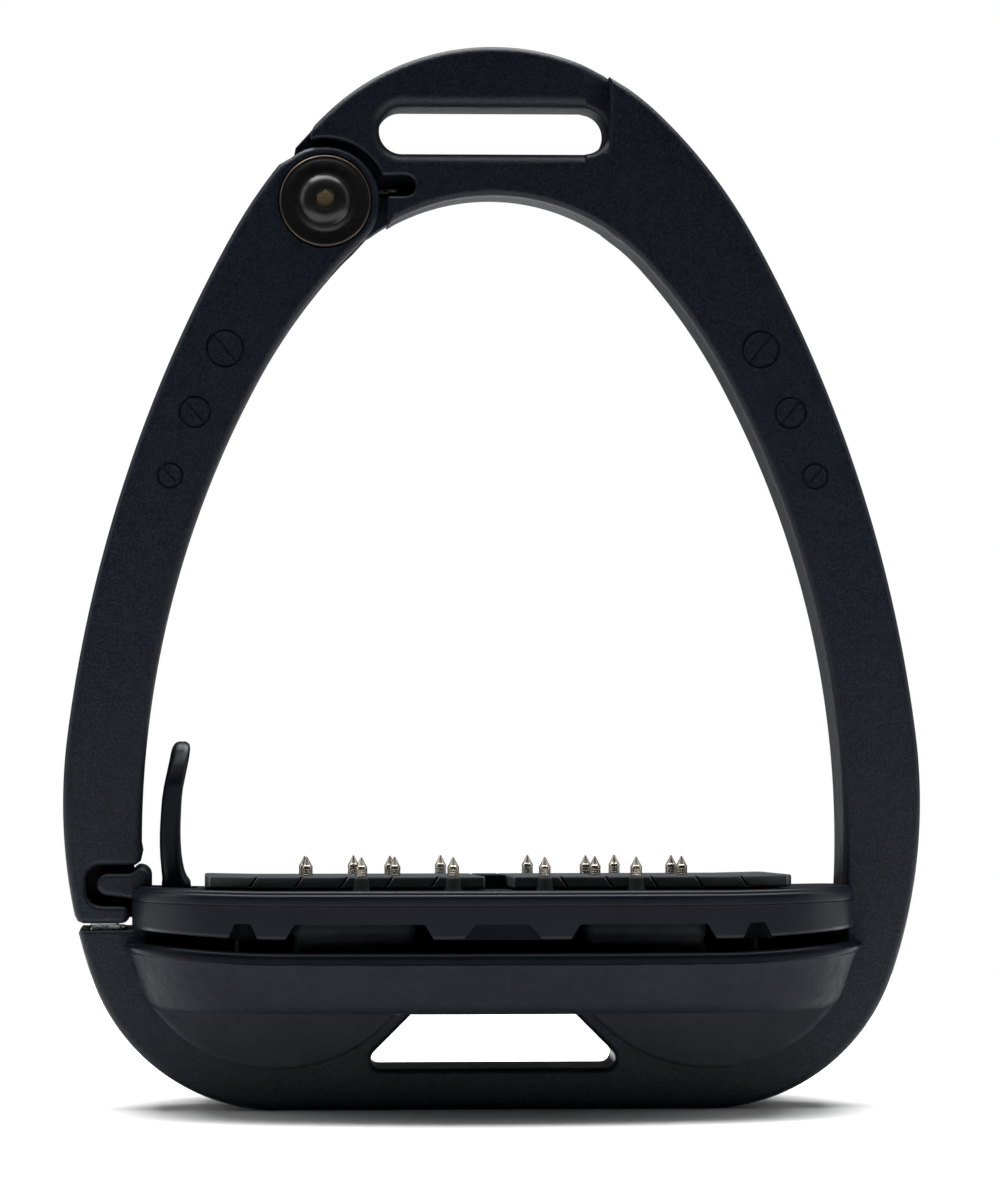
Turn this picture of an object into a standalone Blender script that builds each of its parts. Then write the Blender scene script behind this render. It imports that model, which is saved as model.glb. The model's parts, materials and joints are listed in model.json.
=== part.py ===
"""Stirrup iron with an opening side arm and a sprung, studded foot rest.

Everything is modelled in millimetres, and the last lines turn the pieces into metres.
X runs across the iron, Y from its front face to its back, Z up from its base.
"""

import math

import bmesh
import bpy
from mathutils import Matrix, Vector
from mathutils.geometry import delaunay_2d_cdt

MM = 0.001
DEG = math.pi / 180
GAP = 0.3  # clearance between neighbouring pieces

# Iron: half outlines as tangent arcs (radius, sweep) from the crown down the right side.
HEIGHT = 184.5
OUTER_ARCS = [(41.65, 43.4), (89.6, 17.6), (241, 21.8), (93.2, 26.0), (34.1, 71.2)]
INNER_TOP = 158.3
INNER_ARCS = [(35.9, 47.8), (100.6, 13.9), (170, 31.2)]
DEPTH = 16.0
HALF = DEPTH / 2
EDGE = 1.3  # rounding of the front and back edges
WEB_TOP = 24.0
WEB_FILLET = 6.0
WINDOW = [(-23.6, 7.2), (23.6, 7.2), (12.6, 18.2), (-12.6, 18.2)]

# Bridge with the leather slot; its right end is set back behind the arm.
STEP_X = 20.2
STEP_DEPTH = 2.3
SLOT_X, SLOT_Z0, SLOT_Z1 = 19.8, 165.8, 173.75

# Pivot of the opening arm.
PIVOT = (-29.2, 157.5)
EYE_R = 9.5
EYE_GAP_R = 10.9
TONGUE_HALF = 3.0
FORK_HALF = 4.1
FORK_R = 12.6
NECK_R = 13.4
TIP = (-31.8, 169.2)
LIP_Z = 154.2
SPRING_SLOT_X, SPRING_SLOT_Z0, SPRING_SLOT_Z1 = -13.5, 158.4, 162.0

# Latch at the foot of the arm.
LEDGE_Z = 31.4
TOE_Z0, TOE_Z1, TOE_X = 32.5, 35.6, -62.9
NOTCH_X, NOTCH_Z = -70.4, 42.6
FINGER_X, FINGER_Z0, FINGER_Z1 = -68.7, 37.3, 41.2
ROOT_X0, ROOT_X1, ROOT_Z = -62.0, -59.2, 42.2
WEB_Y = 4.5  # the arm's rear web closes the notch behind the finger

# Foot rest. Its heights are at mid depth; every level falls towards the back, and the ends
# curl up past DISH_X by a share of DISH that depends on the height.
PITCH = math.tan(2.2 * DEG)
DISH_X, DISH_END = 38.0, 63.0
DISH = [(17.0, 0.4), (26.0, 1.7), (31.0, 1.6), (36.0, 0.7)]
PLAN_HALF_DEPTH = 39.0
PLAN_ARCS = [(145, 19.3), (21, 60.7), (90, 9.9)]
CARRIER_GROW = 1.6
DECK_TOP, DECK_FLOOR, SKIRT_Z = 38.0, 34.8, 29.8
RIM_Z, CARRIER_Z = 27.6, 17.1
TRAY_FLOOR, SEAT_Z = 20.0, 24.0
ROOF_Z = 26.3
TRAVEL = 1.5  # how far the deck sinks into the carrier
WALL = 2.4
SPINE_HALF = 10.9  # solid middle of the carrier, over the web
NOTCHES = [(0.0, 13.4, 9.1, 1.5), (24.0, 25.0, 21.8, 6.5), (43.6, 5.0, 2.7, 6.5)]
NOTCH_H = 2.6
SCREWS = [(sx * 43.0, sy * 18.0) for sx in (-1, 1) for sy in (-1, 1)]
CARRIER_SCREW_X = 34.0
STUDS = [(32.4, 11.0), (23.4, 26.0), (17.3, 12.0), (7.8, 26.0)]
STUD_R = 1.0
STUD_TIP = 43.7
PAD_Z0, PAD_Z1 = DECK_TOP + GAP, 40.4
PAD_X0, PAD_X1, PAD_Y = 2.4, 50.0, 27.0
RIB_HALF, RIB_Y = PAD_X0 - GAP, -8.0
BOSS_R = 1.9
SIPE_PITCH = 7.7
CUSHION = (24.7, 22.0, 21.5, 17.0)  # centre x, centre y, width, depth

# Lobes of the lower body on the faces of the web.
LOBE_X, LOBE_Z, LOBE_R, LOBE_Y = 37.5, 34.0, 26.7, 10.9

# Release lever and its cross pin.
LEVER_PIN = (-55.0, 33.0)
LEVER_SLOT_X = -51.3
ARM_SLOT_HALF = HALF + 0.4

ROUNDELS = [(46.5, 132.0, 3.5), (51.7, 121.0, 3.0), (56.0, 110.0, 2.5)]

COLOURS = {
    "coat": ((0.012, 0.014, 0.017), 0.35, 0.55),
    "plastic": ((0.022, 0.024, 0.027), 0.0, 0.45),
    "grain": ((0.028, 0.030, 0.033), 0.0, 0.6),
    "rubber": ((0.015, 0.016, 0.017), 0.0, 0.85),
    "elastomer": ((0.02, 0.022, 0.025), 0.0, 0.7),
    "steel": ((0.62, 0.60, 0.57), 1.0, 0.25),
    "oxide": ((0.03, 0.03, 0.032), 0.9, 0.25),
    "nickel": ((0.7, 0.7, 0.68), 1.0, 0.15),
    "brass": ((0.55, 0.42, 0.2), 1.0, 0.3),
    "nylon": ((0.5, 0.5, 0.48), 0.0, 0.5),
}

for old in list(bpy.data.objects):
    bpy.data.objects.remove(old)


# ---------------------------------------------------------------- outlines


def arc(cx, cy, r, a0, a1, n):
    """Points of an arc, with its angles in degrees."""
    turn = [(a0 + (a1 - a0) * k / n) * DEG for k in range(n + 1)]
    return [(cx + r * math.cos(a), cy + r * math.sin(a)) for a in turn]


def chain(top, arcs, step=3.0):
    """Tangent arcs that start at (0, top) heading along +x and turn downwards."""
    x, y, heading = 0.0, top, 0.0
    points = [(x, y)]
    for r, sweep in arcs:
        cx, cy = x - r * math.sin(heading), y - r * math.cos(heading)
        n = max(2, round(math.sqrt(r) * sweep / 10 / step))
        for k in range(1, n + 1):
            a = heading + sweep * DEG * k / n
            points.append((cx + r * math.sin(a), cy + r * math.cos(a)))
        heading += sweep * DEG
        x, y = points[-1]
    return points


def x_at(points, z):
    """Half width of a chain at height z."""
    for (x0, z0), (x1, z1) in zip(points, points[1:]):
        if z1 <= z <= z0:
            return x0 + (x1 - x0) * (z0 - z) / max(z0 - z1, 1e-9)
    return points[-1][0]


def z_at(points, x):
    """Height of a chain at x, on the part where x still grows."""
    for (x0, z0), (x1, z1) in zip(points, points[1:]):
        if x0 <= x <= x1:
            return z0 + (z1 - z0) * (x - x0) / (x1 - x0)
    return points[-1][1]


def area(loop):
    return sum(p[0] * q[1] - q[0] * p[1] for p, q in zip(loop, loop[1:] + loop[:1])) / 2


def turned(loop, ccw=True):
    return loop if (area(loop) > 0) == ccw else loop[::-1]


def holds(loop, p):
    """Whether the point is inside the loop."""
    sides = [
        (b[0] - a[0]) * (p[1] - a[1]) / (b[1] - a[1]) + a[0] > p[0]
        for a, b in zip(loop, loop[1:] + loop[:1])
        if (a[1] > p[1]) != (b[1] > p[1])
    ]
    return sum(sides) % 2 == 1


def inset(loop, amounts):
    """Moves each point of a loop to its left, into the material, by its own amount."""
    moved = []
    for k, p in enumerate(loop):
        a, b = Vector(loop[k - 1]), Vector(loop[(k + 1) % len(loop)])
        e0, e1 = (Vector(p) - a).normalized(), (b - Vector(p)).normalized()
        n0, n1 = Vector((-e0.y, e0.x)), Vector((-e1.y, e1.x))
        m = (n0 + n1) / max(1 + n0.dot(n1), 0.35)
        moved.append((p[0] + amounts[k] * m.x, p[1] + amounts[k] * m.y))
    return moved


def rounded(corners, r, n=4):
    """A polygon with each corner replaced by an arc of radius r, or by one radius each."""
    radii = r if isinstance(r, list) else [r] * len(corners)
    loop = []
    for k, p in enumerate(corners):
        p = Vector(p)
        u = (Vector(corners[k - 1]) - p).normalized()
        v = (Vector(corners[(k + 1) % len(corners)]) - p).normalized()
        if radii[k] < 0.01:
            loop.append(tuple(p))
            continue
        half = u.angle(v) / 2
        centre = p + (u + v).normalized() * radii[k] / math.sin(half)
        s = p + u * radii[k] / math.tan(half) - centre
        e = p + v * radii[k] / math.tan(half) - centre
        sweep = s.angle_signed(e)
        for j in range(n + 1):
            a = -sweep * j / n
            c, d = math.cos(a), math.sin(a)
            loop.append((centre.x + c * s.x - d * s.y, centre.y + d * s.x + c * s.y))
    return loop


# ---------------------------------------------------------------- solids


def make(name, verts, faces, colour=None):
    """A mesh object; with a colour it is a piece, without one a cutter."""
    mesh = bpy.data.meshes.new(name)
    mesh.from_pydata([Vector(v) for v in verts], [], faces)
    bm = bmesh.new()
    bm.from_mesh(mesh)
    bmesh.ops.recalc_face_normals(bm, faces=bm.faces)
    bm.to_mesh(mesh)
    bm.free()
    obj = bpy.data.objects.new(name, mesh)
    bpy.context.scene.collection.objects.link(obj)
    if colour is None:
        obj.hide_render = True
        obj.display_type = "WIRE"
    else:
        tint, metal, rough = COLOURS[colour]
        material = bpy.data.materials.new(name)
        material.use_nodes = True
        shader = material.node_tree.nodes["Principled BSDF"]
        shader.inputs["Base Color"].default_value = (*tint, 1)
        shader.inputs["Metallic"].default_value = metal
        shader.inputs["Roughness"].default_value = rough
        material.diffuse_color = (*tint, 1)
        mesh.materials.append(material)
    return obj


def place(axis, u, v, h):
    return (u, h, v) if axis == "y" else (u, v, h)


def skin(name, stacks, axis, colour=None):
    """A closed body from stacks of rings, one stack for the outline and one for each hole."""
    verts, faces, ends = [], [], ([], [])
    for stack in stacks:
        n, first = len(stack[0]), len(verts)
        for ring in stack:
            verts += [place(axis, *p) for p in ring]
        for k in range(len(stack) - 1):
            for j in range(n):
                a, b = first + k * n + j, first + k * n + (j + 1) % n
                faces.append((a, b, b + n, a + n))
        ends[0].append((first, stack[0]))
        ends[1].append((first + (len(stack) - 1) * n, stack[-1]))
    for end in ends:
        flat, edges, index = [], [], []
        for first, ring in end:
            n, base = len(ring), len(flat)
            flat += [Vector(p[:2]) for p in ring]
            index += range(first, first + n)
            edges += [(base + j, base + (j + 1) % n) for j in range(n)]
        found = delaunay_2d_cdt(flat, edges, [], 0, 1e-6)
        back = [index[origin[0]] for origin in found[3]]
        for face in found[2]:
            middle = sum((found[0][j] for j in face), Vector((0, 0))) / len(face)
            if sum(holds([p[:2] for p in ring], middle) for _, ring in end) % 2:
                faces.append(tuple(back[j] for j in face))
    return make(name, verts, faces, colour)


def slab(name, loops, h0, h1, axis="y", colour=None, steps=2):
    """A plate from h0 to h1. Each loop comes with the radius of its edges, one or one per point."""
    stacks = []
    for k, (loop, radii) in enumerate(loops):
        radii = radii if isinstance(radii, list) else [radii] * len(loop)
        if (area(loop) > 0) != (k == 0):
            loop, radii = loop[::-1], radii[::-1]
        turns = [0.0] if max(radii) < 0.01 else [90.0 * j / steps for j in range(steps + 1)]
        stack = []
        for base, sign, order in ((h0, 1, turns), (h1, -1, turns[::-1])):
            for t in order:
                side, rise = 1 - math.sin(t * DEG), 1 - math.cos(t * DEG)
                ring = inset(loop, [r * side for r in radii])
                stack.append([(*p, base + sign * r * rise) for p, r in zip(ring, radii)])
        stacks.append(stack)
    return skin(name, stacks, axis, colour)


def loft(name, loop, profile, colour=None, axis="z"):
    """A body whose outline is set in by profile[k][0] at height profile[k][1]."""
    loop = turned(loop)
    stack = [[(*p, h) for p in inset(loop, [d] * len(loop))] for d, h in profile]
    return skin(name, [stack], axis, colour)


def box(name, x0, x1, y0, y1, z0, z1, colour=None):
    return slab(name, [([(x0, y0), (x1, y0), (x1, y1), (x0, y1)], 0.0)], z0, z1, "z", colour)


def revolve(name, profile, centre, axis, colour=None, n=32, closed=False):
    """Turns (radius, height) points about an axis through centre; closed makes a ring."""
    verts, rows = [], []
    for r, h in profile:
        if r < 1e-6:
            rows.append([len(verts)] * n)
            verts.append(place(axis, centre[0], centre[1], h))
            continue
        rows.append(list(range(len(verts), len(verts) + n)))
        for k in range(n):
            a = 2 * math.pi * k / n
            u, v = centre[0] + r * math.cos(a), centre[1] + r * math.sin(a)
            verts.append(place(axis, u, v, h))
    pairs = list(zip(rows, rows[1:])) + ([(rows[-1], rows[0])] if closed else [])
    faces = []
    for low, high in pairs:
        for k in range(n):
            quad = [low[k], low[(k + 1) % n], high[(k + 1) % n], high[k]]
            faces.append(tuple(dict.fromkeys(quad)))
    return make(name, verts, [f for f in faces if len(f) > 2], colour)


def rod(name, r, centre, h0, h1, axis, colour=None, n=24):
    return revolve(name, [(0, h0), (r, h0), (r, h1), (0, h1)], centre, axis, colour, n)


def tube(name, r_in, r_out, centre, h0, h1, axis, colour=None, n=24):
    ring = [(r_in, h0), (r_out, h0), (r_out, h1), (r_in, h1)]
    return revolve(name, ring, centre, axis, colour, n, closed=True)


def wire(name, path, r, colour=None, sides=6):
    """A round wire along a path, with flat ends."""
    path = [Vector(p) for p in path]
    verts, normal = [], None
    for k, p in enumerate(path):
        along = (path[min(k + 1, len(path) - 1)] - path[max(k - 1, 0)]).normalized()
        normal = along.orthogonal() if normal is None else normal - along * normal.dot(along)
        normal.normalize()
        other = along.cross(normal)
        for j in range(sides):
            a = 2 * math.pi * j / sides
            verts.append(p + r * (math.cos(a) * normal + math.sin(a) * other))
    faces = [tuple(range(sides)), tuple(range(len(verts) - sides, len(verts)))]
    for k in range(len(path) - 1):
        for j in range(sides):
            a, b = k * sides + j, k * sides + (j + 1) % sides
            faces.append((a, b, b + sides, a + sides))
    return make(name, verts, faces, colour)


def bend(obj, move):
    """Moves every point of an object by a rule."""
    for v in obj.data.vertices:
        v.co = move(*v.co)
    return obj


def rise(x, z):
    """How far the foot rest curls up at x, for a point at height z."""
    share = max(abs(x) - DISH_X, 0) / (DISH_END - DISH_X)
    full = DISH[0][1] if z < DISH[0][0] else DISH[-1][1]
    for (z0, d0), (z1, d1) in zip(DISH, DISH[1:]):
        if z0 <= z <= z1:
            full = d0 + (d1 - d0) * (z - z0) / (z1 - z0)
    return full * share**1.6


def pitched(obj):
    """Shapes a piece of the foot rest like the rest of it: lower at the back, curled up at the ends."""
    return bend(obj, lambda x, y, z: (x, y, z - PITCH * y + rise(x, z)))


def mirrored(obj, name):
    """A second cutter, mirrored front to back."""
    twin = obj.copy()
    twin.data = obj.data.copy()
    twin.name = name
    bpy.context.scene.collection.objects.link(twin)
    twin.data.transform(Matrix.Diagonal((1.0, -1.0, 1.0, 1.0)))
    twin.data.flip_normals()
    return twin


def behind(cutter, name):
    """The same cutter mirrored to the back, where the foot rest lies lower."""
    return bend(mirrored(cutter, name), lambda x, y, z: (x, y, z - 2 * PITCH * y))


def tidied(obj):
    """Merges the flat facets and the doubled points that a Boolean leaves, and closes slits."""
    bm = bmesh.new()
    bm.from_mesh(obj.data)
    bmesh.ops.remove_doubles(bm, verts=bm.verts, dist=0.003)
    bmesh.ops.dissolve_degenerate(bm, edges=bm.edges, dist=0.003)
    bmesh.ops.dissolve_limit(bm, angle_limit=0.15 * DEG, verts=bm.verts, edges=bm.edges)
    bmesh.ops.holes_fill(bm, edges=[e for e in bm.edges if e.is_boundary], sides=4)
    bm.to_mesh(obj.data)
    bm.free()
    return obj


def combine(target, tools, operation):
    """Adds the tools to the target, or cuts them from it, and removes them."""
    for tool in tools:
        modifier = target.modifiers.new(operation.lower(), "BOOLEAN")
        modifier.operation = operation
        modifier.solver = "EXACT"
        modifier.object = tool
        graph = bpy.context.evaluated_depsgraph_get()
        made = bpy.data.meshes.new_from_object(target.evaluated_get(graph))
        target.modifiers.clear()
        target.data = made
        bpy.data.objects.remove(tool)
    return tidied(target)


def cut(target, *tools):
    return combine(target, tools, "DIFFERENCE")


def add(target, *tools):
    return combine(target, tools, "UNION")


def set_origin(obj, x, y, z):
    """Puts the origin of a moving piece on its joint axis."""
    at = Vector((x, y, z))
    obj.data.transform(Matrix.Translation(-at))
    obj.location = at


# ---------------------------------------------------------------- iron

outer = chain(HEIGHT, OUTER_ARCS)
inner = chain(INNER_TOP, INNER_ARCS)
BASE_X = outer[-1][0]
outer[-1] = (BASE_X, 0.0)


def flip(points):
    return [(-x, z) for x, z in points]


def between(points, z0, z1, apart=1.0):
    """The part of a chain from height z0 down to z1, with its end points."""
    ends = [(x_at(points, z0), z0)], [(x_at(points, z1), z1)]
    inside = [p for p in points if z1 < p[1] < z0]
    clear = [p for p in inside if min(math.dist(p, e[0]) for e in ends) > apart]
    return ends[0] + clear + ends[1]


def roundel_cutters(side):
    """Engraved rings with a slot across them, down one arm."""
    tools = []
    for k, (x, z, r) in enumerate(ROUNDELS):
        ring = [(r - 0.9, -HALF - 0.5), (r + 0.1, -HALF - 0.5), (r - 0.4, -HALF + 0.4)]
        at = (side * x, z)
        tools.append(revolve(f"roundel_{side}_{k}", ring, at, "y", n=24, closed=True))
        lean = 50 * DEG if side > 0 else 130 * DEG
        d, w = Vector((math.cos(lean), math.sin(lean))) * (r - 0.3), 0.2
        n = Vector((-d.y, d.x)).normalized() * w
        c = Vector(at)
        loop = [tuple(c - d - n), tuple(c + d - n), tuple(c + d + n), tuple(c - d + n)]
        tools.append(slab(f"roundel_slot_{side}_{k}", [(loop, 0.0)], -HALF - 1, -HALF + 0.35))
    return tools


def set_back(x, y, z):
    """Sinks the face of the bridge towards its right end, fading out under the slot."""
    along = max(x - TIP[0], 0) / (STEP_X - TIP[0])
    up = min(max((z - 155.5) / (SLOT_Z0 - 1.5 - 155.5), 0), 1)
    return x, y + STEP_DEPTH * along * up * (HALF - y) / DEPTH, z


def gap_angle(z):
    """Where the gap round the eye crosses height z, in degrees."""
    return math.degrees(math.asin((z - PIVOT[1]) / EYE_GAP_R))


def near_pivot(points):
    return [p for p in points if math.dist(p, PIVOT) < NECK_R]


def build_frame():
    ledge_x = -x_at(outer, LEDGE_Z)
    left = flip(between(outer, LEDGE_Z - 0.6, 0.0))[::-1]
    finger_r = (FINGER_Z1 - FINGER_Z0) / 2
    loop = between(outer, z_at(outer, STEP_X), 0.0, 3.0)
    radii = [EDGE] * len(loop)
    loop += left + [(ledge_x + 0.6, LEDGE_Z)]
    radii += [EDGE] * len(left) + [0.6]
    latch = [(ROOT_X0 - 0.7, LEDGE_Z), (ROOT_X0, LEDGE_Z + 0.7), (ROOT_X0, FINGER_Z0 - 0.6)]
    latch += arc(FINGER_X + finger_r, FINGER_Z0 + finger_r, finger_r, 270, 90, 8)
    latch += [(ROOT_X0 - 0.9, FINGER_Z1), (ROOT_X0, FINGER_Z1 + 0.35)]
    latch += arc(ROOT_X1 - 1.9, ROOT_Z - 1.9, 1.9, 90, 0, 5)
    loop += latch
    radii += [0.5] * len(latch)
    floor = arc(ROOT_X1 + WEB_FILLET, WEB_TOP + WEB_FILLET, WEB_FILLET, 180, 270, 6)
    right_x = inner[-1][0]
    floor += arc(right_x - WEB_FILLET, WEB_TOP + WEB_FILLET, WEB_FILLET, 270, 360, 6)
    up = between(inner, z_at(inner, STEP_X), inner[-1][1], 3.0)[::-1]
    shoulder = [(STEP_X, 154.8), (STEP_X, 159.5), (STEP_X, 164.5), (STEP_X, 175.0)]
    loop += floor + up + shoulder
    radii += [EDGE] * (len(floor) + len(up)) + [0.05, 0.5, 1.0, EDGE]
    loop, radii = loop[::-1], radii[::-1]
    frame = slab("frame", [(loop, radii), (rounded(WINDOW, 1.7), 1.0)], -HALF, HALF, "y", "coat")

    top = [p for p in flip(outer)[::-1] + outer[1:] if TIP[0] + 0.6 < p[0] < STEP_X - 0.6]
    under = [p for p in flip(inner)[::-1] + inner[1:] if -17.6 < p[0] < STEP_X - 0.6]
    crown = [(x, z - 0.12) for x, z in top] + [(STEP_X - 0.2, z_at(outer, STEP_X) - 0.12)]
    crown += [(STEP_X + 6, z_at(outer, STEP_X + 6) - 3), (STEP_X + 6, z_at(inner, STEP_X + 6) + 3)]
    belly = [(x, z + 0.12) for x, z in under][::-1]
    lip = arc(*PIVOT, EYE_GAP_R, gap_angle(LIP_Z + 0.9), gap_angle(SPRING_SLOT_Z0), 4)
    slot_r = (SPRING_SLOT_Z1 - SPRING_SLOT_Z0) / 2
    lip += arc(SPRING_SLOT_X - slot_r, SPRING_SLOT_Z0 + slot_r, slot_r, -90, 90, 8)
    reach = math.degrees(math.atan2(TIP[1] - PIVOT[1], TIP[0] - PIVOT[0])) - 0.5
    lip += arc(*PIVOT, EYE_GAP_R, gap_angle(SPRING_SLOT_Z1), reach, 12)
    tip = [(TIP[0], TIP[1] - 0.4), (TIP[0] + 0.15, TIP[1] + 0.25)]
    foot = [(-18.1, 153.5)]
    loop = crown + [(STEP_X - 0.2, z_at(inner, STEP_X) + 0.12)] + belly + foot + lip + tip
    radii = [EDGE] * (len(crown) + 1 + len(belly)) + [0.5] * (len(foot) + len(lip) + len(tip))
    loop, radii = loop[::-1], radii[::-1]
    slot_mid, slot_half = (SLOT_Z0 + SLOT_Z1) / 2, (SLOT_Z1 - SLOT_Z0) / 2
    slot = arc(SLOT_X - slot_half, slot_mid, slot_half, -90, 90, 12)
    slot += arc(-SLOT_X + slot_half, slot_mid, slot_half, 90, 270, 12)
    bridge = slab("bridge", [(loop, radii), (slot, 1.5)], -HALF, HALF - 0.1)
    bend(bridge, set_back)

    neck = [(x, z - 0.3) for x, z in near_pivot(flip(outer)[::-1]) if x > -34.6]
    throat = [(x, z + 0.3) for x, z in near_pivot(flip(inner)) if x > -22.0]
    loop = neck + arc(*PIVOT, NECK_R, 97, -13, 8) + throat + arc(*PIVOT, 9.2, -48, -234, 24)
    tongue = slab("tongue", [(loop[::-1], 0.3)], -TONGUE_HALF, TONGUE_HALF)
    slot_back = box("slot_back", -20.3, -12.6, -2.8, 2.8, 157.6, 162.8)
    add(frame, bridge, tongue, slot_back)

    tools = [rod("pivot_bore", 4.4, PIVOT, -20, 20, "y", n=36)]
    tools.append(rod("spring_pocket", 7.6, PIVOT, -5, -0.5, "y", n=40))
    tools.append(box("leg_channel", -24, -15.4, -5, -0.9, SPRING_SLOT_Z0 + 0.02, 160.3))
    tools.append(box("magnet_pocket", -70.1, -63.5, -6.8, 6.8, 29.5, LEDGE_Z + 1))
    tools.append(box("web_room", -71, ROOT_X0, WEB_Y - GAP, HALF + 2, TOE_Z1, NOTCH_Z))
    for side in (-1, 1):
        at = (side * CARRIER_SCREW_X, 0)
        tools.append(rod(f"web_hole_{side}", 2.3, at, 13.5, WEB_TOP + 3, "z", n=24))
    tools += roundel_cutters(1)
    cut(frame, *tools)


def build_arm():
    start = 166.0
    side = flip(between(outer, start - 2.2, TOE_Z0 + 1.3))
    toe_x = -x_at(outer, TOE_Z0 + 0.4)
    toe_r = (TOE_Z1 - TOE_Z0) / 2
    latch = [(toe_x + 0.35, TOE_Z0 + 0.35), (toe_x + 1.3, TOE_Z0)]
    latch += arc(TOE_X - toe_r, TOE_Z0 + toe_r, toe_r, -90, 90, 8)
    latch += arc(NOTCH_X + 1.6, TOE_Z1 + 1.6, 1.6, 270, 180, 4)
    latch += arc(NOTCH_X + 1.6, NOTCH_Z - 1.6, 1.6, 180, 90, 4)
    latch += [(-61.9, NOTCH_Z), (-61.0, NOTCH_Z + 0.7), (-60.7, NOTCH_Z + 2.0)]
    inside = flip(between(inner, 149.0, NOTCH_Z + 3.5))[::-1]
    eye = arc(*PIVOT, EYE_R, -46, 128, 26)
    loop = side + latch + inside + eye
    radii = [EDGE] * len(side) + [0.6] * len(latch) + [EDGE] * len(inside) + [1.0] * len(eye)
    arm = slab("release_arm", [(loop, radii)], -HALF, HALF, "y", "coat")
    tools = [rod("eye_bore", 4.4, PIVOT, -20, 20, "y", n=32)]
    tools.append(rod("fork", FORK_R, PIVOT, -FORK_HALF, FORK_HALF, "y", n=48))
    tools.append(rod("cap_seat", 8.18, PIVOT, -HALF - 2, -HALF + 1, "y", n=44))
    tools.append(rod("rear_seat", 8.18, PIVOT, HALF - 1, HALF + 2, "y", n=44))
    tools.append(box("toe_pocket", -70.1, -64.5, -6.8, 6.8, TOE_Z0 - 1, 34.1))
    tools += roundel_cutters(-1)
    cut(arm, *tools)
    x0, x1, x2 = NOTCH_X - 0.8, TOE_X - 1.3, ROOT_X0 - GAP
    z0, z1, z2 = TOE_Z0 + 0.4, TOE_Z1 - 0.7, NOTCH_Z + 0.8
    web = [(x0, z1), (x1, z1), (x1, z0), (x2, z0), (x2, z2), (x0, z2)]
    add(arm, slab("web", [(web, 0.0)], WEB_Y, HALF - 0.7))
    set_origin(arm, PIVOT[0], 0, PIVOT[1])


def hexagon(across, centre):
    r = across / math.sqrt(3)
    return arc(*centre, r, 30, 330, 5)


def build_pivot():
    shape = [(0, -11.5), (2.4, -11.5), (3.4, -11.2), (4.2, -10.5), (4.65, -9.6)]
    shape += [(4.75, -8.9), (4.6, -8.75), (2.5, -8.75), (2.5, 7.6), (2.2, 8.0), (0, 8.0)]
    bolt = revolve("pivot_bolt", shape, PIVOT, "y", "oxide", n=32)
    cut(bolt, slab("bolt_socket", [(hexagon(3.0, PIVOT), 0.0)], -13, -9.7))
    dish = [(2.8, -7.3), (7.6, -7.3), (7.9, -7.5), (7.9, -8.3), (7.6, -8.5), (7.0, -8.5)]
    dish += [(6.6, -8.35), (5.2, -8.3), (2.8, -8.45)]
    revolve("pivot_cap_washer", dish, PIVOT, "y", "oxide", n=40, closed=True)
    tube("pivot_sleeve", 2.8, 4.1, PIVOT, -6.9, 6.9, "y", "steel")
    for name, side in (("front_thrust_washer", -1), ("rear_thrust_washer", 1)):
        ends = sorted((side * (TONGUE_HALF + GAP), side * (FORK_HALF - GAP)))
        tube(name, 4.5, 8.8, PIVOT, *ends, "y", "nylon")
    tube("rear_washer", 2.8, 7.9, PIVOT, 7.3, 8.4, "y", "oxide")
    dome = [(0, 8.9), (2.8, 8.9), (2.8, 8.7), (4.6, 8.7), (4.4, 9.4), (3.6, 10.2), (2.4, 10.6)]
    dome.append((0, 10.6))
    nut = revolve("pivot_nut", dome, PIVOT, "y", "oxide", n=24)
    cut(nut, slab("nut_socket", [(hexagon(2.5, PIVOT), 0.0)], 9.7, 12))

    build_spring()


def build_spring():
    """A turn and a half in the tongue's pocket, then a leg that shows in the slot."""
    first, last, coil_r, steps = 600.0, 38.0, 6.2, 36
    y_first, y_last = -1.0, -2.6
    path = []
    for k in range(steps + 1):
        a = (first + (last - first) * k / steps) * DEG
        y = y_first + (y_last - y_first) * k / steps
        path.append((PIVOT[0] + coil_r * math.cos(a), y, PIVOT[1] + coil_r * math.sin(a)))
    leg_z = SPRING_SLOT_Z0 + 1.0
    path += [(-23.7, y_last, leg_z + 1.1), (-22.4, y_last, leg_z + 0.2), (-21.2, y_last, leg_z)]
    path += [(-20.0, -2.8, leg_z), (-18.2, -4.6, leg_z), (-16.6, -5.2, leg_z)]
    wire("torsion_spring", path, 0.42, "steel")


def build_magnets():
    x0, half = -69.8, 6.5
    places = [("frame_magnet", 29.8, LEDGE_Z + 0.2, -63.8), ("arm_magnet", 32.1, 33.8, -64.8)]
    for name, z0, z1, x1 in places:
        loop = rounded([(x0, -half), (x1, -half), (x1, half), (x0, half)], 0.6, 3)
        slab(name, [(loop, 0.15)], z0, z1, "z", "nickel")


# ---------------------------------------------------------------- foot rest


def plan(grow=0.0):
    quarter = chain(PLAN_HALF_DEPTH + grow, [(r + grow, a) for r, a in PLAN_ARCS], step=4.0)
    quarter = [(x, y) for x, y in quarter if y > 0.5]
    front = [(x, -y) for x, y in quarter]
    half = front + [(x, y) for x, y in quarter[::-1]]
    return half + [(-x, y) for x, y in half[::-1] if x > 0.01]


def clip(loop, y_max, clear=4.0):
    """The part of a plan in front of y_max, closed straight across with long sides beside it."""
    kept = []
    for p, q in zip(loop, loop[1:] + loop[:1]):
        if p[1] <= y_max - clear:
            kept.append(p)
        if (p[1] <= y_max) != (q[1] <= y_max):
            t = (y_max - p[1]) / (q[1] - p[1])
            kept.append((p[0] + t * (q[0] - p[0]), y_max))
    return kept


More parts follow.
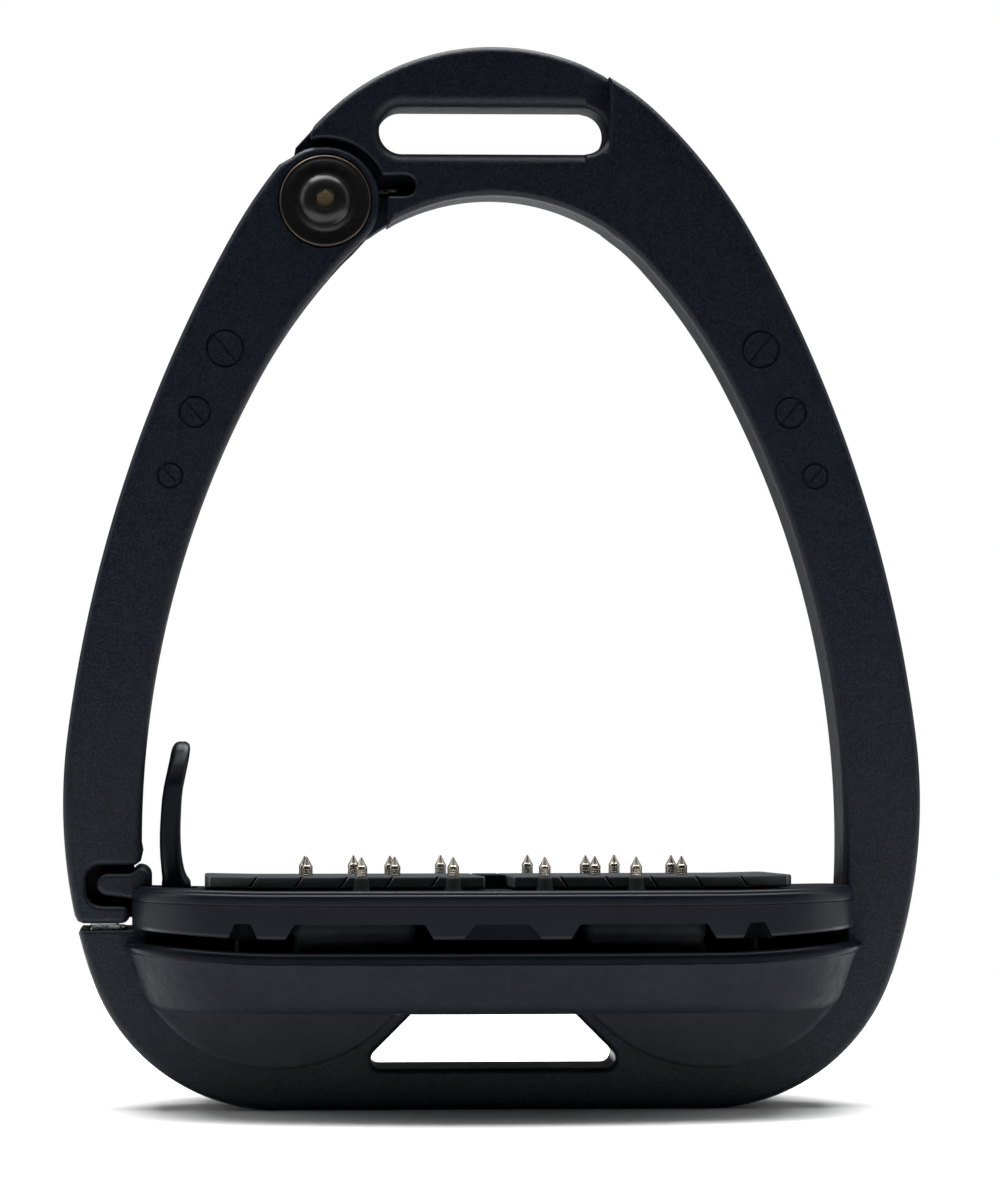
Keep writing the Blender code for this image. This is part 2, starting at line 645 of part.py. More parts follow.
def build_carrier():
    outline = plan(CARRIER_GROW)
    profile = [(7.5, CARRIER_Z), (5.4, CARRIER_Z + 0.35), (4.0, CARRIER_Z + 1.3)]
    profile += [(3.2, CARRIER_Z + 2.8), (0.9, RIM_Z - 2.3), (0.3, RIM_Z - 1.5)]
    profile += [(0.0, RIM_Z - 1.0), (0.0, RIM_Z - 0.5), (0.5, RIM_Z)]
    carrier = pitched(loft("carrier", outline, profile, "grain"))
    lobe = []
    for sx in (-1, 1):
        for sy in (-1, 1):
            ends = sorted((sy * LOBE_Y, sy * (HALF + 0.2)))
            half_disc = arc(sx * LOBE_X, LOBE_Z, LOBE_R, -154, -26, 18)
            lobe.append(slab(f"lobe_{sx}_{sy}", [(half_disc, 0.5)], *ends))
    seats = [rod(f"seat_{x}_{y}", 6.0, (x, y), TRAY_FLOOR - 1.5, SEAT_Z, "z", n=16) for x, y in SCREWS]
    seats = [pitched(seat) for seat in seats]
    front = turned(clip(inset(turned(outline), [WALL + 0.6] * len(outline)), -SPINE_HALF))
    depth = [(3.0, TRAY_FLOOR), (1.2, TRAY_FLOOR + 1.5), (0, 25), (0, 32)]
    well = pitched(loft("well", front, depth))
    rear = behind(well, "rear_well")
    add(carrier, *lobe)
    cut(carrier, well, rear)
    add(carrier, *seats)
    slot = ARM_SLOT_HALF
    floor = WEB_TOP + 0.4
    saddle = [(-80, -5), (80, -5), (80, 40), (54.3, 40), (54.3, floor)]
    saddle += [(-52.8, floor), (-52.8, 40), (-80, 40)]
    tools = [slab("saddle", [(saddle, 0.0)], -slot, slot)]
    tools.append(box("roof_relief", -80, 80, -SPINE_HALF, SPINE_HALF, ROOF_Z, 40))
    for x, y in SCREWS:
        tools.append(pitched(rod(f"screw_way_{x}_{y}", 2.4, (x, y), 10, 30, "z", n=14)))
        tools.append(pitched(rod(f"head_way_{x}_{y}", 4.5, (x, y), 10, 21.5, "z", n=16)))
    for side in (-1, 1):
        at = (side * CARRIER_SCREW_X, 0)
        cone = [(0, 20), (2.4, 20), (2.4, 24.1), (4.3, 26.0), (4.6, 30), (0, 30)]
        tools.append(revolve(f"sink_{side}", cone, at, "z", n=32))
    cut(carrier, *tools)


def skirt_cutters():
    tools = []
    for x, wide, narrow, deep in NOTCHES:
        for sx in (-1, 1) if x else (1,):
            c = sx * x
            z0, z1 = SKIRT_Z - 1.0, SKIRT_Z + NOTCH_H
            grow = (wide - narrow) / 2 / NOTCH_H
            a, b = wide / 2 + grow, narrow / 2
            loop = rounded([(c - a, z0), (c + a, z0), (c + b, z1), (c - b, z1)], [0, 0, 0.5, 0.5], 2)
            bow = PLAN_ARCS[0][0]
            face = PLAN_HALF_DEPTH - bow + math.sqrt(bow * bow - c * c)
            tool = pitched(slab(f"notch_{c}", [(loop, 0.0)], -50, -face + deep))
            tools += [tool, behind(tool, f"rear_notch_{c}")]
    return tools


def build_deck():
    outline = plan()
    profile = [(0.4, SKIRT_Z), (0, SKIRT_Z + 0.4), (0, 35.2), (0.25, 35.4), (0.25, 35.7), (0, 35.9)]
    profile += [(0, 36.7), (0.18, 37.35), (0.65, 37.82), (1.3, DECK_TOP)]
    deck = pitched(loft("deck", outline, profile, "plastic"))
    inside = [(WALL, SKIRT_Z - 3), (WALL, DECK_FLOOR - 1), (WALL + 1, DECK_FLOOR)]
    cut(deck, pitched(loft("hollow", outline, inside)))
    posts = []
    for x, y in SCREWS:
        posts.append(pitched(rod(f"post_{x}_{y}", 5.0, (x, y), 29.4, DECK_FLOOR + 1, "z", n=18)))
    px, pz = LEVER_PIN
    for sy in (-1, 1):
        sides = sorted((sy * (SPINE_HALF + 0.5), sy * (SPINE_HALF + 2.1)))
        keel = box(f"keel_{sy}", -60, 60, *sides, SEAT_Z + TRAVEL + GAP, DECK_FLOOR + 1)
        posts.append(pitched(keel))
        low, high = pz - 2.8, DECK_FLOOR + 2
        corners = [(px - 3, low), (px + 3, low), (px + 3, high), (px - 3, high)]
        loop = rounded(corners, [1.5, 1.5, 0, 0], 3)
        ends = sorted((sy * 9.0, sy * 11.8))
        posts.append(slab(f"bracket_{sy}", [(loop, 0.0)], *ends))
    rib = box("rib", -RIB_HALF, RIB_HALF, RIB_Y, PAD_Y, DECK_TOP - 1, PAD_Z1)
    add(deck, *posts, pitched(rib))
    slot = ARM_SLOT_HALF
    tools = [box("arm_way", -80, LEVER_SLOT_X, -slot, slot, 20, 60)]
    tools.append(box("right_way", inner[-1][0] - 0.6, 80, -slot, slot, 20, 60))
    tools.append(rod("pin_way", 1.5, LEVER_PIN, -11.2, 11.2, "y", n=20))
    for x, y in SCREWS:
        tools.append(pitched(rod(f"insert_way_{x}_{y}", 3.4, (x, y), 28, 35.4, "z", n=14)))
    for sx in (-1, 1):
        for x, y in STUDS:
            for sy in (-1, 1):
                at = (sx * x, sy * y)
                tools.append(pitched(rod(f"stud_way_{at}", STUD_R + GAP, at, 36.2, 45, "z", n=8)))
    cut(deck, *skirt_cutters(), *tools)


def sipe(name, sx, x, sy):
    """A slanted slit across the front or back half of a pad, leaning in from its foot."""
    reach, slant, lean, half = 45.0, 7.2, 0.9, 0.28
    verts = []
    for cx, cy in ((sx * x, sy * 0.01), (sx * (x + slant), sy * reach)):
        for z, dx in ((PAD_Z0 + 0.9, lean), (PAD_Z1 + 0.5, -lean)):
            verts += [(cx + sx * dx - half, cy, z), (cx + sx * dx + half, cy, z)]
    faces = [(0, 1, 3, 2), (4, 6, 7, 5), (0, 4, 5, 1), (2, 3, 7, 6), (0, 2, 6, 4), (1, 5, 7, 3)]
    return make(name, verts, faces)


def pad_outline(sx):
    """A long pad with a straight inner side and blunted outer corners."""
    half = [(PAD_X0, -PAD_Y), (PAD_X1 - 0.8, -PAD_Y), (PAD_X1, -PAD_Y + 1.6)]
    half = [(sx * x, y) for x, y in half]
    return turned(half + [(x, -y) for x, y in half[::-1]])


def build_pads():
    """Rubber pads. The studs nearest the front and back edges stand in moulded bosses."""
    boss = [(0, PAD_Z0 + 0.2), (BOSS_R + 0.3, PAD_Z0 + 0.2), (BOSS_R, PAD_Z1 - 0.4)]
    boss += [(BOSS_R - 0.4, PAD_Z1 - 0.1), (0, PAD_Z1 - 0.1)]
    rows = math.ceil((PAD_X1 - PAD_X0 - 9.2) / SIPE_PITCH)
    for name, sx in (("left_grip_pad", -1), ("right_grip_pad", 1)):
        pad = slab(name, [(pad_outline(sx), 0.35)], PAD_Z0, PAD_Z1, "z", "rubber")
        sipes, bosses, ways = [], [], []
        for sy in (-1, 1):
            for k in range(rows):
                sipes.append(sipe(f"sipe_{sx}_{sy}_{k}", sx, PAD_X0 + 4.2 + k * SIPE_PITCH, sy))
            for x, y in STUDS:
                at = (sx * x, sy * y)
                ways.append(rod(f"pad_way_{at}", STUD_R + GAP, at, 30, 50, "z", n=10))
                if y > 20:
                    bosses.append(revolve(f"boss_{at}", boss, at, "z", n=14))
        cut(pad, *sipes)
        add(pad, *bosses)
        pitched(cut(pad, *ways))


def side_names(sx, sy):
    return ("left" if sx < 0 else "right") + ("_front" if sy < 0 else "_rear")


def build_studs():
    r = STUD_R
    shape = [(0, 36.5), (r, 36.5), (r, 42.1), (r * 0.8, 42.25), (r * 0.18, STUD_TIP), (0, STUD_TIP)]
    for sx in (-1, 1):
        for sy in (-1, 1):
            for k, (x, y) in enumerate(STUDS):
                name = f"stud_{side_names(sx, sy)}_{k + 1}"
                pitched(revolve(name, shape, (sx * x, sy * y), "z", "steel", n=10))


def build_fasteners():
    shank, head, head_top, tip = 2.0, 3.9, 21.1, 34.3
    shape = [(0, 18.9), (head - 0.3, 18.9), (head, 19.2), (head, head_top)]
    shape += [(shank, head_top), (shank, tip - 0.3), (shank - 0.3, tip), (0, tip)]
    for x, y in SCREWS:
        corner = side_names(x, y)
        screw = revolve(f"deck_screw_{corner}", shape, (x, y), "z", "steel", n=14)
        cut(screw, slab("drive", [(hexagon(2.5, (x, y)), 0.0)], 17, 20.3, "z"))
        pitched(screw)
        name = f"threaded_insert_{corner}"
        pitched(tube(name, shank + GAP, 3.1, (x, y), 29.8, 35.0, "z", "brass", n=14))
    countersunk = [(0, 14.0), (shank, 14.0), (shank, 24.3), (head, 26.1), (0, 26.1)]
    for name, sx in (("left_carrier_screw", -1), ("right_carrier_screw", 1)):
        at = (sx * CARRIER_SCREW_X, 0)
        screw = revolve(name, countersunk, at, "z", "steel", n=16)
        cut(screw, slab("recess", [(hexagon(2.5, at), 0.0)], 24.6, 30, "z"))


def build_cushions():
    cx, cy, w, d = CUSHION
    z0, z1 = TRAY_FLOOR + GAP + 1.0, DECK_FLOOR - GAP
    waist = [(0.3, z0), (0, z0 + 0.5), (0, z0 + 3), (0.9, z0 + 4.5)]
    waist += [(0.9, z1 - 4.5), (0, z1 - 3), (0, z1 - 0.5), (0.3, z1)]
    for sx in (-1, 1):
        for sy in (-1, 1):
            x0, x1 = sx * cx - w / 2, sx * cx + w / 2
            y0, y1 = sy * cy - d / 2, sy * cy + d / 2
            loop = rounded([(x0, y0), (x1, y0), (x1, y1), (x0, y1)], 2.0, 2)
            pitched(loft(f"cushion_{side_names(sx, sy)}", loop, waist, "elastomer"))


def build_lever():
    px, pz = LEVER_PIN
    levels = [  # height, centre x, half thickness, half width
        (35.2, -55.0, 1.5, 5.4),
        (37.4, -55.0, 1.6, 6.0),
        (38.5, -54.9, 2.35, 7.6),
        (39.2, -54.95, 2.35, 7.6),
        (40.2, -55.3, 2.0, 7.6),
        (42.5, -55.7, 1.85, 7.6),
        (46, -55.95, 1.8, 7.6),
        (50, -55.9, 1.75, 7.6),
        (53.7, -55.7, 1.72, 7.5),
        (57.5, -55.1, 1.7, 7.1),
        (60.3, -54.5, 1.68, 5.9),
        (62.2, -54.15, 1.62, 4.3),
        (63.3, -53.95, 1.35, 2.6),
        (63.8, -53.9, 0.7, 1.0),
    ]
    rings = []
    for z, cx, tx, wy in levels:
        r = min(tx, wy) * 0.75
        corners = [(cx - tx, -wy), (cx + tx, -wy), (cx + tx, wy), (cx - tx, wy)]
        rings.append([(*p, z) for p in rounded(corners, r, 4)])
    lever = skin("release_lever", [rings], "z", "plastic")
    hub = rod("hub", 2.7, LEVER_PIN, -5.4, 5.4, "y", n=24)
    stem = box("stem", px - 1.5, px + 1.5, -5.4, 5.4, pz, 36.0)
    add(lever, hub, stem)
    cut(lever, rod("hub_bore", 1.5, LEVER_PIN, -10, 10, "y", n=20))
    set_origin(lever, px, 0, pz)
    rod("lever_pin", 1.2, LEVER_PIN, -10.9, 10.9, "y", "steel", n=20)
    path = []
    turns, coil_r, steps = 2, 2.1, 32
    for k in range(steps + 1):
        a = 2 * math.pi * turns * k / steps
        path.append((px + coil_r * math.cos(a), 6.0 + 1.9 * k / steps, pz + coil_r * math.sin(a)))
    wire("lever_spring", path, 0.28, "steel")


build_frame()
build_arm()
build_pivot()
build_magnets()
build_carrier()
build_deck()
build_pads()
build_studs()
build_fasteners()
build_cushions()
build_lever()

for piece in bpy.context.scene.objects:
    piece.data.transform(Matrix.Scale(MM, 4))
    piece.location *= MM
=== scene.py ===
"""Looks of a stirrup iron with an opening side arm and a sprung, studded foot rest.

Shapes are made in millimetres, in the part's own axes, and settle() turns them into metres:
X runs across the iron, Y from its front face to its back, Z up from its base.
"""

import json
import math
from contextlib import contextmanager

import bmesh
import bpy
from mathutils import Matrix, Vector
from mathutils.geometry import delaunay_2d_cdt


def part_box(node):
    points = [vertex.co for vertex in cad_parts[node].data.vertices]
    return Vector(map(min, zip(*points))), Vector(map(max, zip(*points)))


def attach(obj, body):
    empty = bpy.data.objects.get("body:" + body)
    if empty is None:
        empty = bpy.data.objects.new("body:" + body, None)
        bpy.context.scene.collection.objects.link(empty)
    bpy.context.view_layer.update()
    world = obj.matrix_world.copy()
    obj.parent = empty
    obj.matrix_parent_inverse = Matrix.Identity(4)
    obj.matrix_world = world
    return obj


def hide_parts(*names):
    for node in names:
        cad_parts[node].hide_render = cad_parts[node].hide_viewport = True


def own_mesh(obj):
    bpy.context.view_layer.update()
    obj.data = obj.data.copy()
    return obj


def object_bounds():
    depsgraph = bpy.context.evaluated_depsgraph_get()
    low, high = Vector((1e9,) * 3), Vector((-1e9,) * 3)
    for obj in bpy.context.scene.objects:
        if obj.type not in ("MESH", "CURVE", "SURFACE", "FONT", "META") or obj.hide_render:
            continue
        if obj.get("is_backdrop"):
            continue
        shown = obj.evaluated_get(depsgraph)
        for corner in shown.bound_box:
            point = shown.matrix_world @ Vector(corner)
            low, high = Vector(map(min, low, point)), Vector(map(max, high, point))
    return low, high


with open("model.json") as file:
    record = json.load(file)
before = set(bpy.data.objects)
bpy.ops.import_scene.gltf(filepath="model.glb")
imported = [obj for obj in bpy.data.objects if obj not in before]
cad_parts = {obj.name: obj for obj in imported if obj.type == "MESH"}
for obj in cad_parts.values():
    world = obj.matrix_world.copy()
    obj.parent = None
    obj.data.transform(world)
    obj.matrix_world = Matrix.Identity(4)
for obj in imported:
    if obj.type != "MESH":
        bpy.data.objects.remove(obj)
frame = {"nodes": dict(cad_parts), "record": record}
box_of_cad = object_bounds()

scene = bpy.context.scene

MM = 0.001
DEG = math.pi / 180
GAP = 0.3  # clearance between neighbouring pieces

# Iron: half outlines as tangent arcs (radius, sweep) from the crown down the right side.
HEIGHT = 184.5
OUTER_ARCS = [(41.65, 43.4), (89.6, 17.6), (241, 21.8), (93.2, 26.0), (34.1, 71.2)]
INNER_TOP = 158.3
INNER_ARCS = [(35.9, 47.8), (100.6, 13.9), (170, 31.2)]
DEPTH = 16.0
HALF = DEPTH / 2
EDGE = 1.3  # rounding of the front and back edges
WEB_TOP = 24.0
WEB_FILLET = 6.0
WINDOW = [(-23.6, 7.2), (23.6, 7.2), (12.6, 18.2), (-12.6, 18.2)]
WINDOW_R, WINDOW_EDGE = 1.7, 1.1

# Bridge with the leather slot; its right end is set back behind the arm.
STEP_X = 20.2
STEP_DEPTH = 2.3
STEP_RUN, STEP_FADE = 7.0, 6.0  # length of the step's slope, and height over which it fades
STEP_Z0, STEP_Z1 = 154.8, 175.0
BRIDGE_LAP = 6  # how far the bridge runs on inside the arm
SLOT_X, SLOT_Z0, SLOT_Z1 = 19.8, 165.8, 173.75
SLOT_ROLL, SLOT_END_ROLL = 2.3, 1.1

# Pivot of the opening arm.
PIVOT = (-29.2, 157.5)
EYE_R = 9.5
ARM_OUTER_Z, ARM_INNER_Z = 163.8, 149.0  # where the arm's sides run into its eye
CAP_SEAT_R = 8.18
EYE_GAP_R = 10.9
TONGUE_HALF = 3.0
FORK_HALF = 4.1
FORK_R = 12.6
BORE_R = 4.4
NECK_R = 13.4
TIP = (-31.8, 169.2)
LIP_Z = 154.2
SPRING_SLOT_X, SPRING_SLOT_Z0, SPRING_SLOT_Z1 = -13.5, 158.4, 162.0

# Latch at the foot of the arm.
LEDGE_Z = 31.4
TOE_Z0, TOE_Z1, TOE_X = 32.5, 35.6, -62.9
NOTCH_X, NOTCH_Z, NOTCH_R = -70.4, 42.6, 2.7
FINGER_X, FINGER_Z0, FINGER_Z1 = -68.7, 37.3, 41.2
ROOT_X0, ROOT_X1, ROOT_Z, ROOT_R = -62.0, -59.2, 42.2, 1.9
LEDGE_EDGE, FINGER_EDGE = 0.7, 0.95
MAGNET_X, MAGNET_HALF = -70.1, 6.8
WEB_Y = 4.5  # the arm's rear web closes the notch behind the finger

CORNERS = [(sx, sy) for sx in (-1, 1) for sy in (-1, 1)]

# Foot rest. Its heights are at mid depth; every level falls towards the back, and the ends
# curl up past DISH_X by a share of DISH that depends on the height.
PITCH = math.tan(2.2 * DEG)
DISH_X, DISH_END = 38.0, 63.0
DISH = [(17.0, 0.4), (26.0, 1.7), (31.0, 1.6), (36.0, 0.7)]
PLAN_HALF_DEPTH = 39.0
PLAN_ARCS = [(145, 19.3), (21, 60.7), (90, 9.9)]
CARRIER_GROW = 1.6
DECK_TOP, DECK_FLOOR, SKIRT_Z = 38.0, 34.8, 29.8
RIM_Z, CARRIER_Z = 27.6, 17.1
TRAY_FLOOR, SEAT_Z = 20.0, 24.0
ROOF_Z = 26.3
TRAVEL = 1.5  # how far the deck sinks into the carrier
WALL = 2.4
SPINE_HALF = 10.9  # solid middle of the carrier, over the web
NOTCHES = [(0.0, 13.4, 9.1, 1.5), (24.0, 25.0, 21.8, 6.5), (43.6, 5.0, 2.7, 6.5)]
NOTCH_H = 2.6
PAINTED_SHADE_X = 46.5  # the inside of the deck up to here gets the painted-shade finish; past the outer notches, within the first arc of the plan
SCREWS = [(sx * 43.0, sy * 18.0) for sx, sy in CORNERS]
SEAT_R, POST_R, SCREW_WAY_R = 6.0, 5.0, 2.4
CARRIER_SCREW_X = 34.0
STUDS = [(32.4, 11.0), (23.4, 26.0), (17.3, 12.0), (7.8, 26.0)]
STUD_R = 1.0
STUD_TIP = 43.7
PAD_Z0, PAD_Z1 = DECK_TOP + GAP, 40.4
PAD_X0, PAD_X1, PAD_Y = 2.4, 50.0, 27.0
RIB_HALF, RIB_Y = PAD_X0 - GAP, -8.0
BOSS_R = 1.9
SIPE_PITCH = 7.7
CUSHION = (24.7, 22.0, 21.5, 17.0)  # centre x, centre y, width, depth

# Lobes of the lower body on the faces of the web.
LOBE_X, LOBE_Z, LOBE_R, LOBE_Y = 37.5, 34.0, 26.7, 10.9

# Release lever and its cross pin.
LEVER_PIN = (-55.0, 33.0)
LEVER_SLOT_X = -51.3
HUB_HALF, PIN_WAY_R = 5.4, 1.5
ARM_SLOT_HALF = HALF + 0.4

ROUNDELS = [(46.5, 132.0, 3.5), (51.7, 121.0, 3.0), (56.0, 110.0, 2.5)]


# ---- outlines


def arc(cx, cy, r, a0, a1, n):
    """Points of an arc, with its angles in degrees."""
    turn = [(a0 + (a1 - a0) * k / n) * DEG for k in range(n + 1)]
    return [(cx + r * math.cos(a), cy + r * math.sin(a)) for a in turn]


def chain(top, arcs, step=1.0):
    """Tangent arcs that start at (0, top) heading along +x and turn downwards."""
    x, y, heading = 0.0, top, 0.0
    points = [(x, y)]
    for r, sweep in arcs:
        cx, cy = x - r * math.sin(heading), y - r * math.cos(heading)
        n = max(2, round(math.sqrt(r) * sweep / 10 / step))
        for k in range(1, n + 1):
            a = heading + sweep * DEG * k / n
            points.append((cx + r * math.sin(a), cy + r * math.cos(a)))
        heading += sweep * DEG
        x, y = points[-1]
    return points


def x_at(points, z):
    """Half width of a chain at height z."""
    for (x0, z0), (x1, z1) in zip(points, points[1:]):
        if z1 <= z <= z0:
            return x0 + (x1 - x0) * (z0 - z) / max(z0 - z1, 1e-9)
    return points[-1][0]


def z_at(points, x):
    """Height of a chain at x, on the part where x still grows."""
    for (x0, z0), (x1, z1) in zip(points, points[1:]):
        if x0 <= x <= x1:
            return z0 + (z1 - z0) * (x - x0) / (x1 - x0)
    return points[-1][1]


def area(loop):
    return sum(p[0] * q[1] - q[0] * p[1] for p, q in zip(loop, loop[1:] + loop[:1])) / 2


def turned(loop):
    """The loop running anticlockwise."""
    return loop if area(loop) > 0 else loop[::-1]


def rectangle(x0, x1, y0, y1):
    return [(x0, y0), (x1, y0), (x1, y1), (x0, y1)]


def holds(loop, p):
    """Whether the point is inside the loop."""
    sides = [
        (b[0] - a[0]) * (p[1] - a[1]) / (b[1] - a[1]) + a[0] > p[0]
        for a, b in zip(loop, loop[1:] + loop[:1])
        if (a[1] > p[1]) != (b[1] > p[1])
    ]
    return sum(sides) % 2 == 1


def inset(loop, amounts):
    """Moves each point of a loop to its left, into the material, by its own amount."""
    moved = []
    for k, p in enumerate(loop):
        a, b = Vector(loop[k - 1]), Vector(loop[(k + 1) % len(loop)])
        e0, e1 = (Vector(p) - a).normalized(), (b - Vector(p)).normalized()
        n0, n1 = Vector((-e0.y, e0.x)), Vector((-e1.y, e1.x))
        m = (n0 + n1) / max(1 + n0.dot(n1), 0.35)
        moved.append((p[0] + amounts[k] * m.x, p[1] + amounts[k] * m.y))
    return moved


def rounded(corners, r, n=8):
    """A polygon with each corner replaced by an arc of radius r, or by one radius each."""
    radii = r if isinstance(r, list) else [r] * len(corners)
    loop = []
    for k, p in enumerate(corners):
        p = Vector(p)
        u = (Vector(corners[k - 1]) - p).normalized()
        v = (Vector(corners[(k + 1) % len(corners)]) - p).normalized()
        if radii[k] < 0.01:
            loop.append(tuple(p))
            continue
        half = u.angle(v) / 2
        centre = p + (u + v).normalized() * radii[k] / math.sin(half)
        s = p + u * radii[k] / math.tan(half) - centre
        e = p + v * radii[k] / math.tan(half) - centre
        sweep = s.angle_signed(e)
        for j in range(n + 1):
            a = -sweep * j / n
            c, d = math.cos(a), math.sin(a)
            loop.append((centre.x + c * s.x - d * s.y, centre.y + d * s.x + c * s.y))
    return loop


# ---- solids


def shown(name, data):
    obj = bpy.data.objects.new(name, data)
    scene.collection.objects.link(obj)
    return obj


@contextmanager
def editing(mesh):
    """Opens a mesh for bmesh operators and writes it back."""
    bm = bmesh.new()
    bm.from_mesh(mesh)
    yield bm
    bm.to_mesh(mesh)
    bm.free()


def make(name, verts, faces):
    """A closed mesh object with its faces turned outwards."""
    mesh = bpy.data.meshes.new(name)
    mesh.from_pydata([Vector(v) for v in verts], [], faces)
    with editing(mesh) as bm:
        bmesh.ops.recalc_face_normals(bm, faces=bm.faces)
    return shown(name, mesh)


def place(axis, u, v, h):
    return (u, h, v) if axis == "y" else (u, v, h)


def grid_inside(rings, pitch):
    """Points of a square grid inside the outline, clear of its edges."""
    xs, ys = [p[0] for p in rings[0]], [p[1] for p in rings[0]]
    points = []
    for i in range(math.ceil(min(xs) / pitch), math.floor(max(xs) / pitch) + 1):
        for j in range(math.ceil(min(ys) / pitch), math.floor(max(ys) / pitch) + 1):
            p = (i * pitch, j * pitch)
            clear = min(math.dist(p, q[:2]) for ring in rings for q in ring) > 0.6 * pitch
            if clear and sum(holds([q[:2] for q in ring], p) for ring in rings) % 2:
                points.append(p)
    return points


def skin(name, stacks, axis, grid=None):
    """A closed body from stacks of rings, one stack for the outline and one for each hole."""
    verts, faces, ends = [], [], ([], [])
    for stack in stacks:
        n, first = len(stack[0]), len(verts)
        for ring in stack:
            verts += [place(axis, *p) for p in ring]
        for k in range(len(stack) - 1):
            for j in range(n):
                a, b = first + k * n + j, first + k * n + (j + 1) % n
                faces.append((a, b, b + n, a + n))
        ends[0].append((first, stack[0]))
        ends[1].append((first + (len(stack) - 1) * n, stack[-1]))
    for end in ends:
        flat, edges, index = [], [], []
        for first, ring in end:
            n, base = len(ring), len(flat)
            flat += [Vector(p[:2]) for p in ring]
            index += range(first, first + n)
            edges += [(base + j, base + (j + 1) % n) for j in range(n)]
        rings = [ring for _, ring in end]
        for p in grid_inside(rings, grid) if grid else []:
            flat.append(Vector(p))
            index.append(len(verts))
            verts.append(place(axis, *p, rings[0][0][2]))
        found = delaunay_2d_cdt(flat, edges, [], 0, 1e-6)
        back = [index[origin[0]] for origin in found[3]]
        for face in found[2]:
            middle = sum((found[0][j] for j in face), Vector((0, 0))) / len(face)
            if sum(holds([p[:2] for p in ring], middle) for ring in rings) % 2:
                faces.append(tuple(back[j] for j in face))
    return make(name, verts, faces)


def slab(name, loops, h0, h1, axis="y", steps=6, grid=None):
    """A plate from h0 to h1. Each loop has one edge radius, or one for each point."""
    stacks = []
    for k, (loop, radii) in enumerate(loops):
        radii = radii if isinstance(radii, list) else [radii] * len(loop)
        if (area(loop) > 0) != (k == 0):
            loop, radii = loop[::-1], radii[::-1]
        turns = [0.0] if max(radii) < 0.01 else [90.0 * j / steps for j in range(steps + 1)]
        stack = []
        for base, sign, order in ((h0, 1, turns), (h1, -1, turns[::-1])):
            for t in order:
                side, rise = 1 - math.sin(t * DEG), 1 - math.cos(t * DEG)
                ring = inset(loop, [r * side for r in radii])
                stack.append([(*p, base + sign * r * rise) for p, r in zip(ring, radii)])
        stacks.append(stack)
    return skin(name, stacks, axis, grid)


def loft(name, loop, profile, axis="z", grid=None):
    """A body whose outline is set in by profile[k][0] at height profile[k][1]."""
    loop = turned(loop)
    stack = [[(*p, h) for p in inset(loop, [d] * len(loop))] for d, h in profile]
    return skin(name, [stack], axis, grid)


def box(name, x0, x1, y0, y1, z0, z1):
    return slab(name, [(rectangle(x0, x1, y0, y1), 0.0)], z0, z1, "z")


def revolve(name, profile, centre, axis, n=96, closed=False):
    """Turns (radius, height) points about an axis through centre; closed makes a ring."""
    verts, rows = [], []
    for r, h in profile:
        if r < 1e-6:
            rows.append([len(verts)] * n)
            verts.append(place(axis, centre[0], centre[1], h))
            continue
        rows.append(list(range(len(verts), len(verts) + n)))
        for k in range(n):
            a = 2 * math.pi * k / n
            u, v = centre[0] + r * math.cos(a), centre[1] + r * math.sin(a)
            verts.append(place(axis, u, v, h))
    pairs = list(zip(rows, rows[1:])) + ([(rows[-1], rows[0])] if closed else [])
    faces = []
    for low, high in pairs:
        for k in range(n):
            quad = [low[k], low[(k + 1) % n], high[(k + 1) % n], high[k]]
            faces.append(tuple(dict.fromkeys(quad)))
    return make(name, verts, [f for f in faces if len(f) > 2])


def rod(name, r, centre, h0, h1, axis, n=48):
    return revolve(name, [(0, h0), (r, h0), (r, h1), (0, h1)], centre, axis, n)


def wire(name, path, r, sides=14):
    """A round wire along a path, with flat ends."""
    path = [Vector(p) for p in path]
    verts, normal = [], None
    for k, p in enumerate(path):
        along = (path[min(k + 1, len(path) - 1)] - path[max(k - 1, 0)]).normalized()
        normal = along.orthogonal() if normal is None else normal - along * normal.dot(along)
        normal.normalize()
        other = along.cross(normal)
        for j in range(sides):
            a = 2 * math.pi * j / sides
            verts.append(p + r * (math.cos(a) * normal + math.sin(a) * other))
    faces = [tuple(range(sides)), tuple(range(len(verts) - sides, len(verts)))]
    for k in range(len(path) - 1):
        for j in range(sides):
            a, b = k * sides + j, k * sides + (j + 1) % sides
            faces.append((a, b, b + sides, a + sides))
    return make(name, verts, faces)


def coil(centre, r, y0, y1, a0, a1, steps):
    """Points of a coil along Y from y0 to y1, with its angles in degrees."""
    path = []
    for k in range(steps + 1):
        a = (a0 + (a1 - a0) * k / steps) * DEG
        y = y0 + (y1 - y0) * k / steps
        path.append((centre[0] + r * math.cos(a), y, centre[1] + r * math.sin(a)))
    return path


def bend(obj, move):
    """Moves every point of an object by a rule."""
    for v in obj.data.vertices:
        v.co = move(*v.co)
    return obj


def rise(x, z):
    """How far the foot rest curls up at x, for a point at height z."""
    share = max(abs(x) - DISH_X, 0) / (DISH_END - DISH_X)
    full = DISH[0][1] if z < DISH[0][0] else DISH[-1][1]
    for (z0, d0), (z1, d1) in zip(DISH, DISH[1:]):
        if z0 <= z <= z1:
            full = d0 + (d1 - d0) * (z - z0) / (z1 - z0)
    return full * share**1.6


def pitched(obj):
    """Tilts a piece of the foot rest towards the back and curls up its ends."""
    return bend(obj, lambda x, y, z: (x, y, z - PITCH * y + rise(x, z)))


def behind(cutter):
    """The same cutter mirrored to the back, where the foot rest lies lower."""
    twin = shown("rear_" + cutter.name, cutter.data.copy())
    twin.data.transform(Matrix.Diagonal((1.0, -1.0, 1.0, 1.0)))
    twin.data.flip_normals()
    return bend(twin, lambda x, y, z: (x, y, z - 2 * PITCH * y))


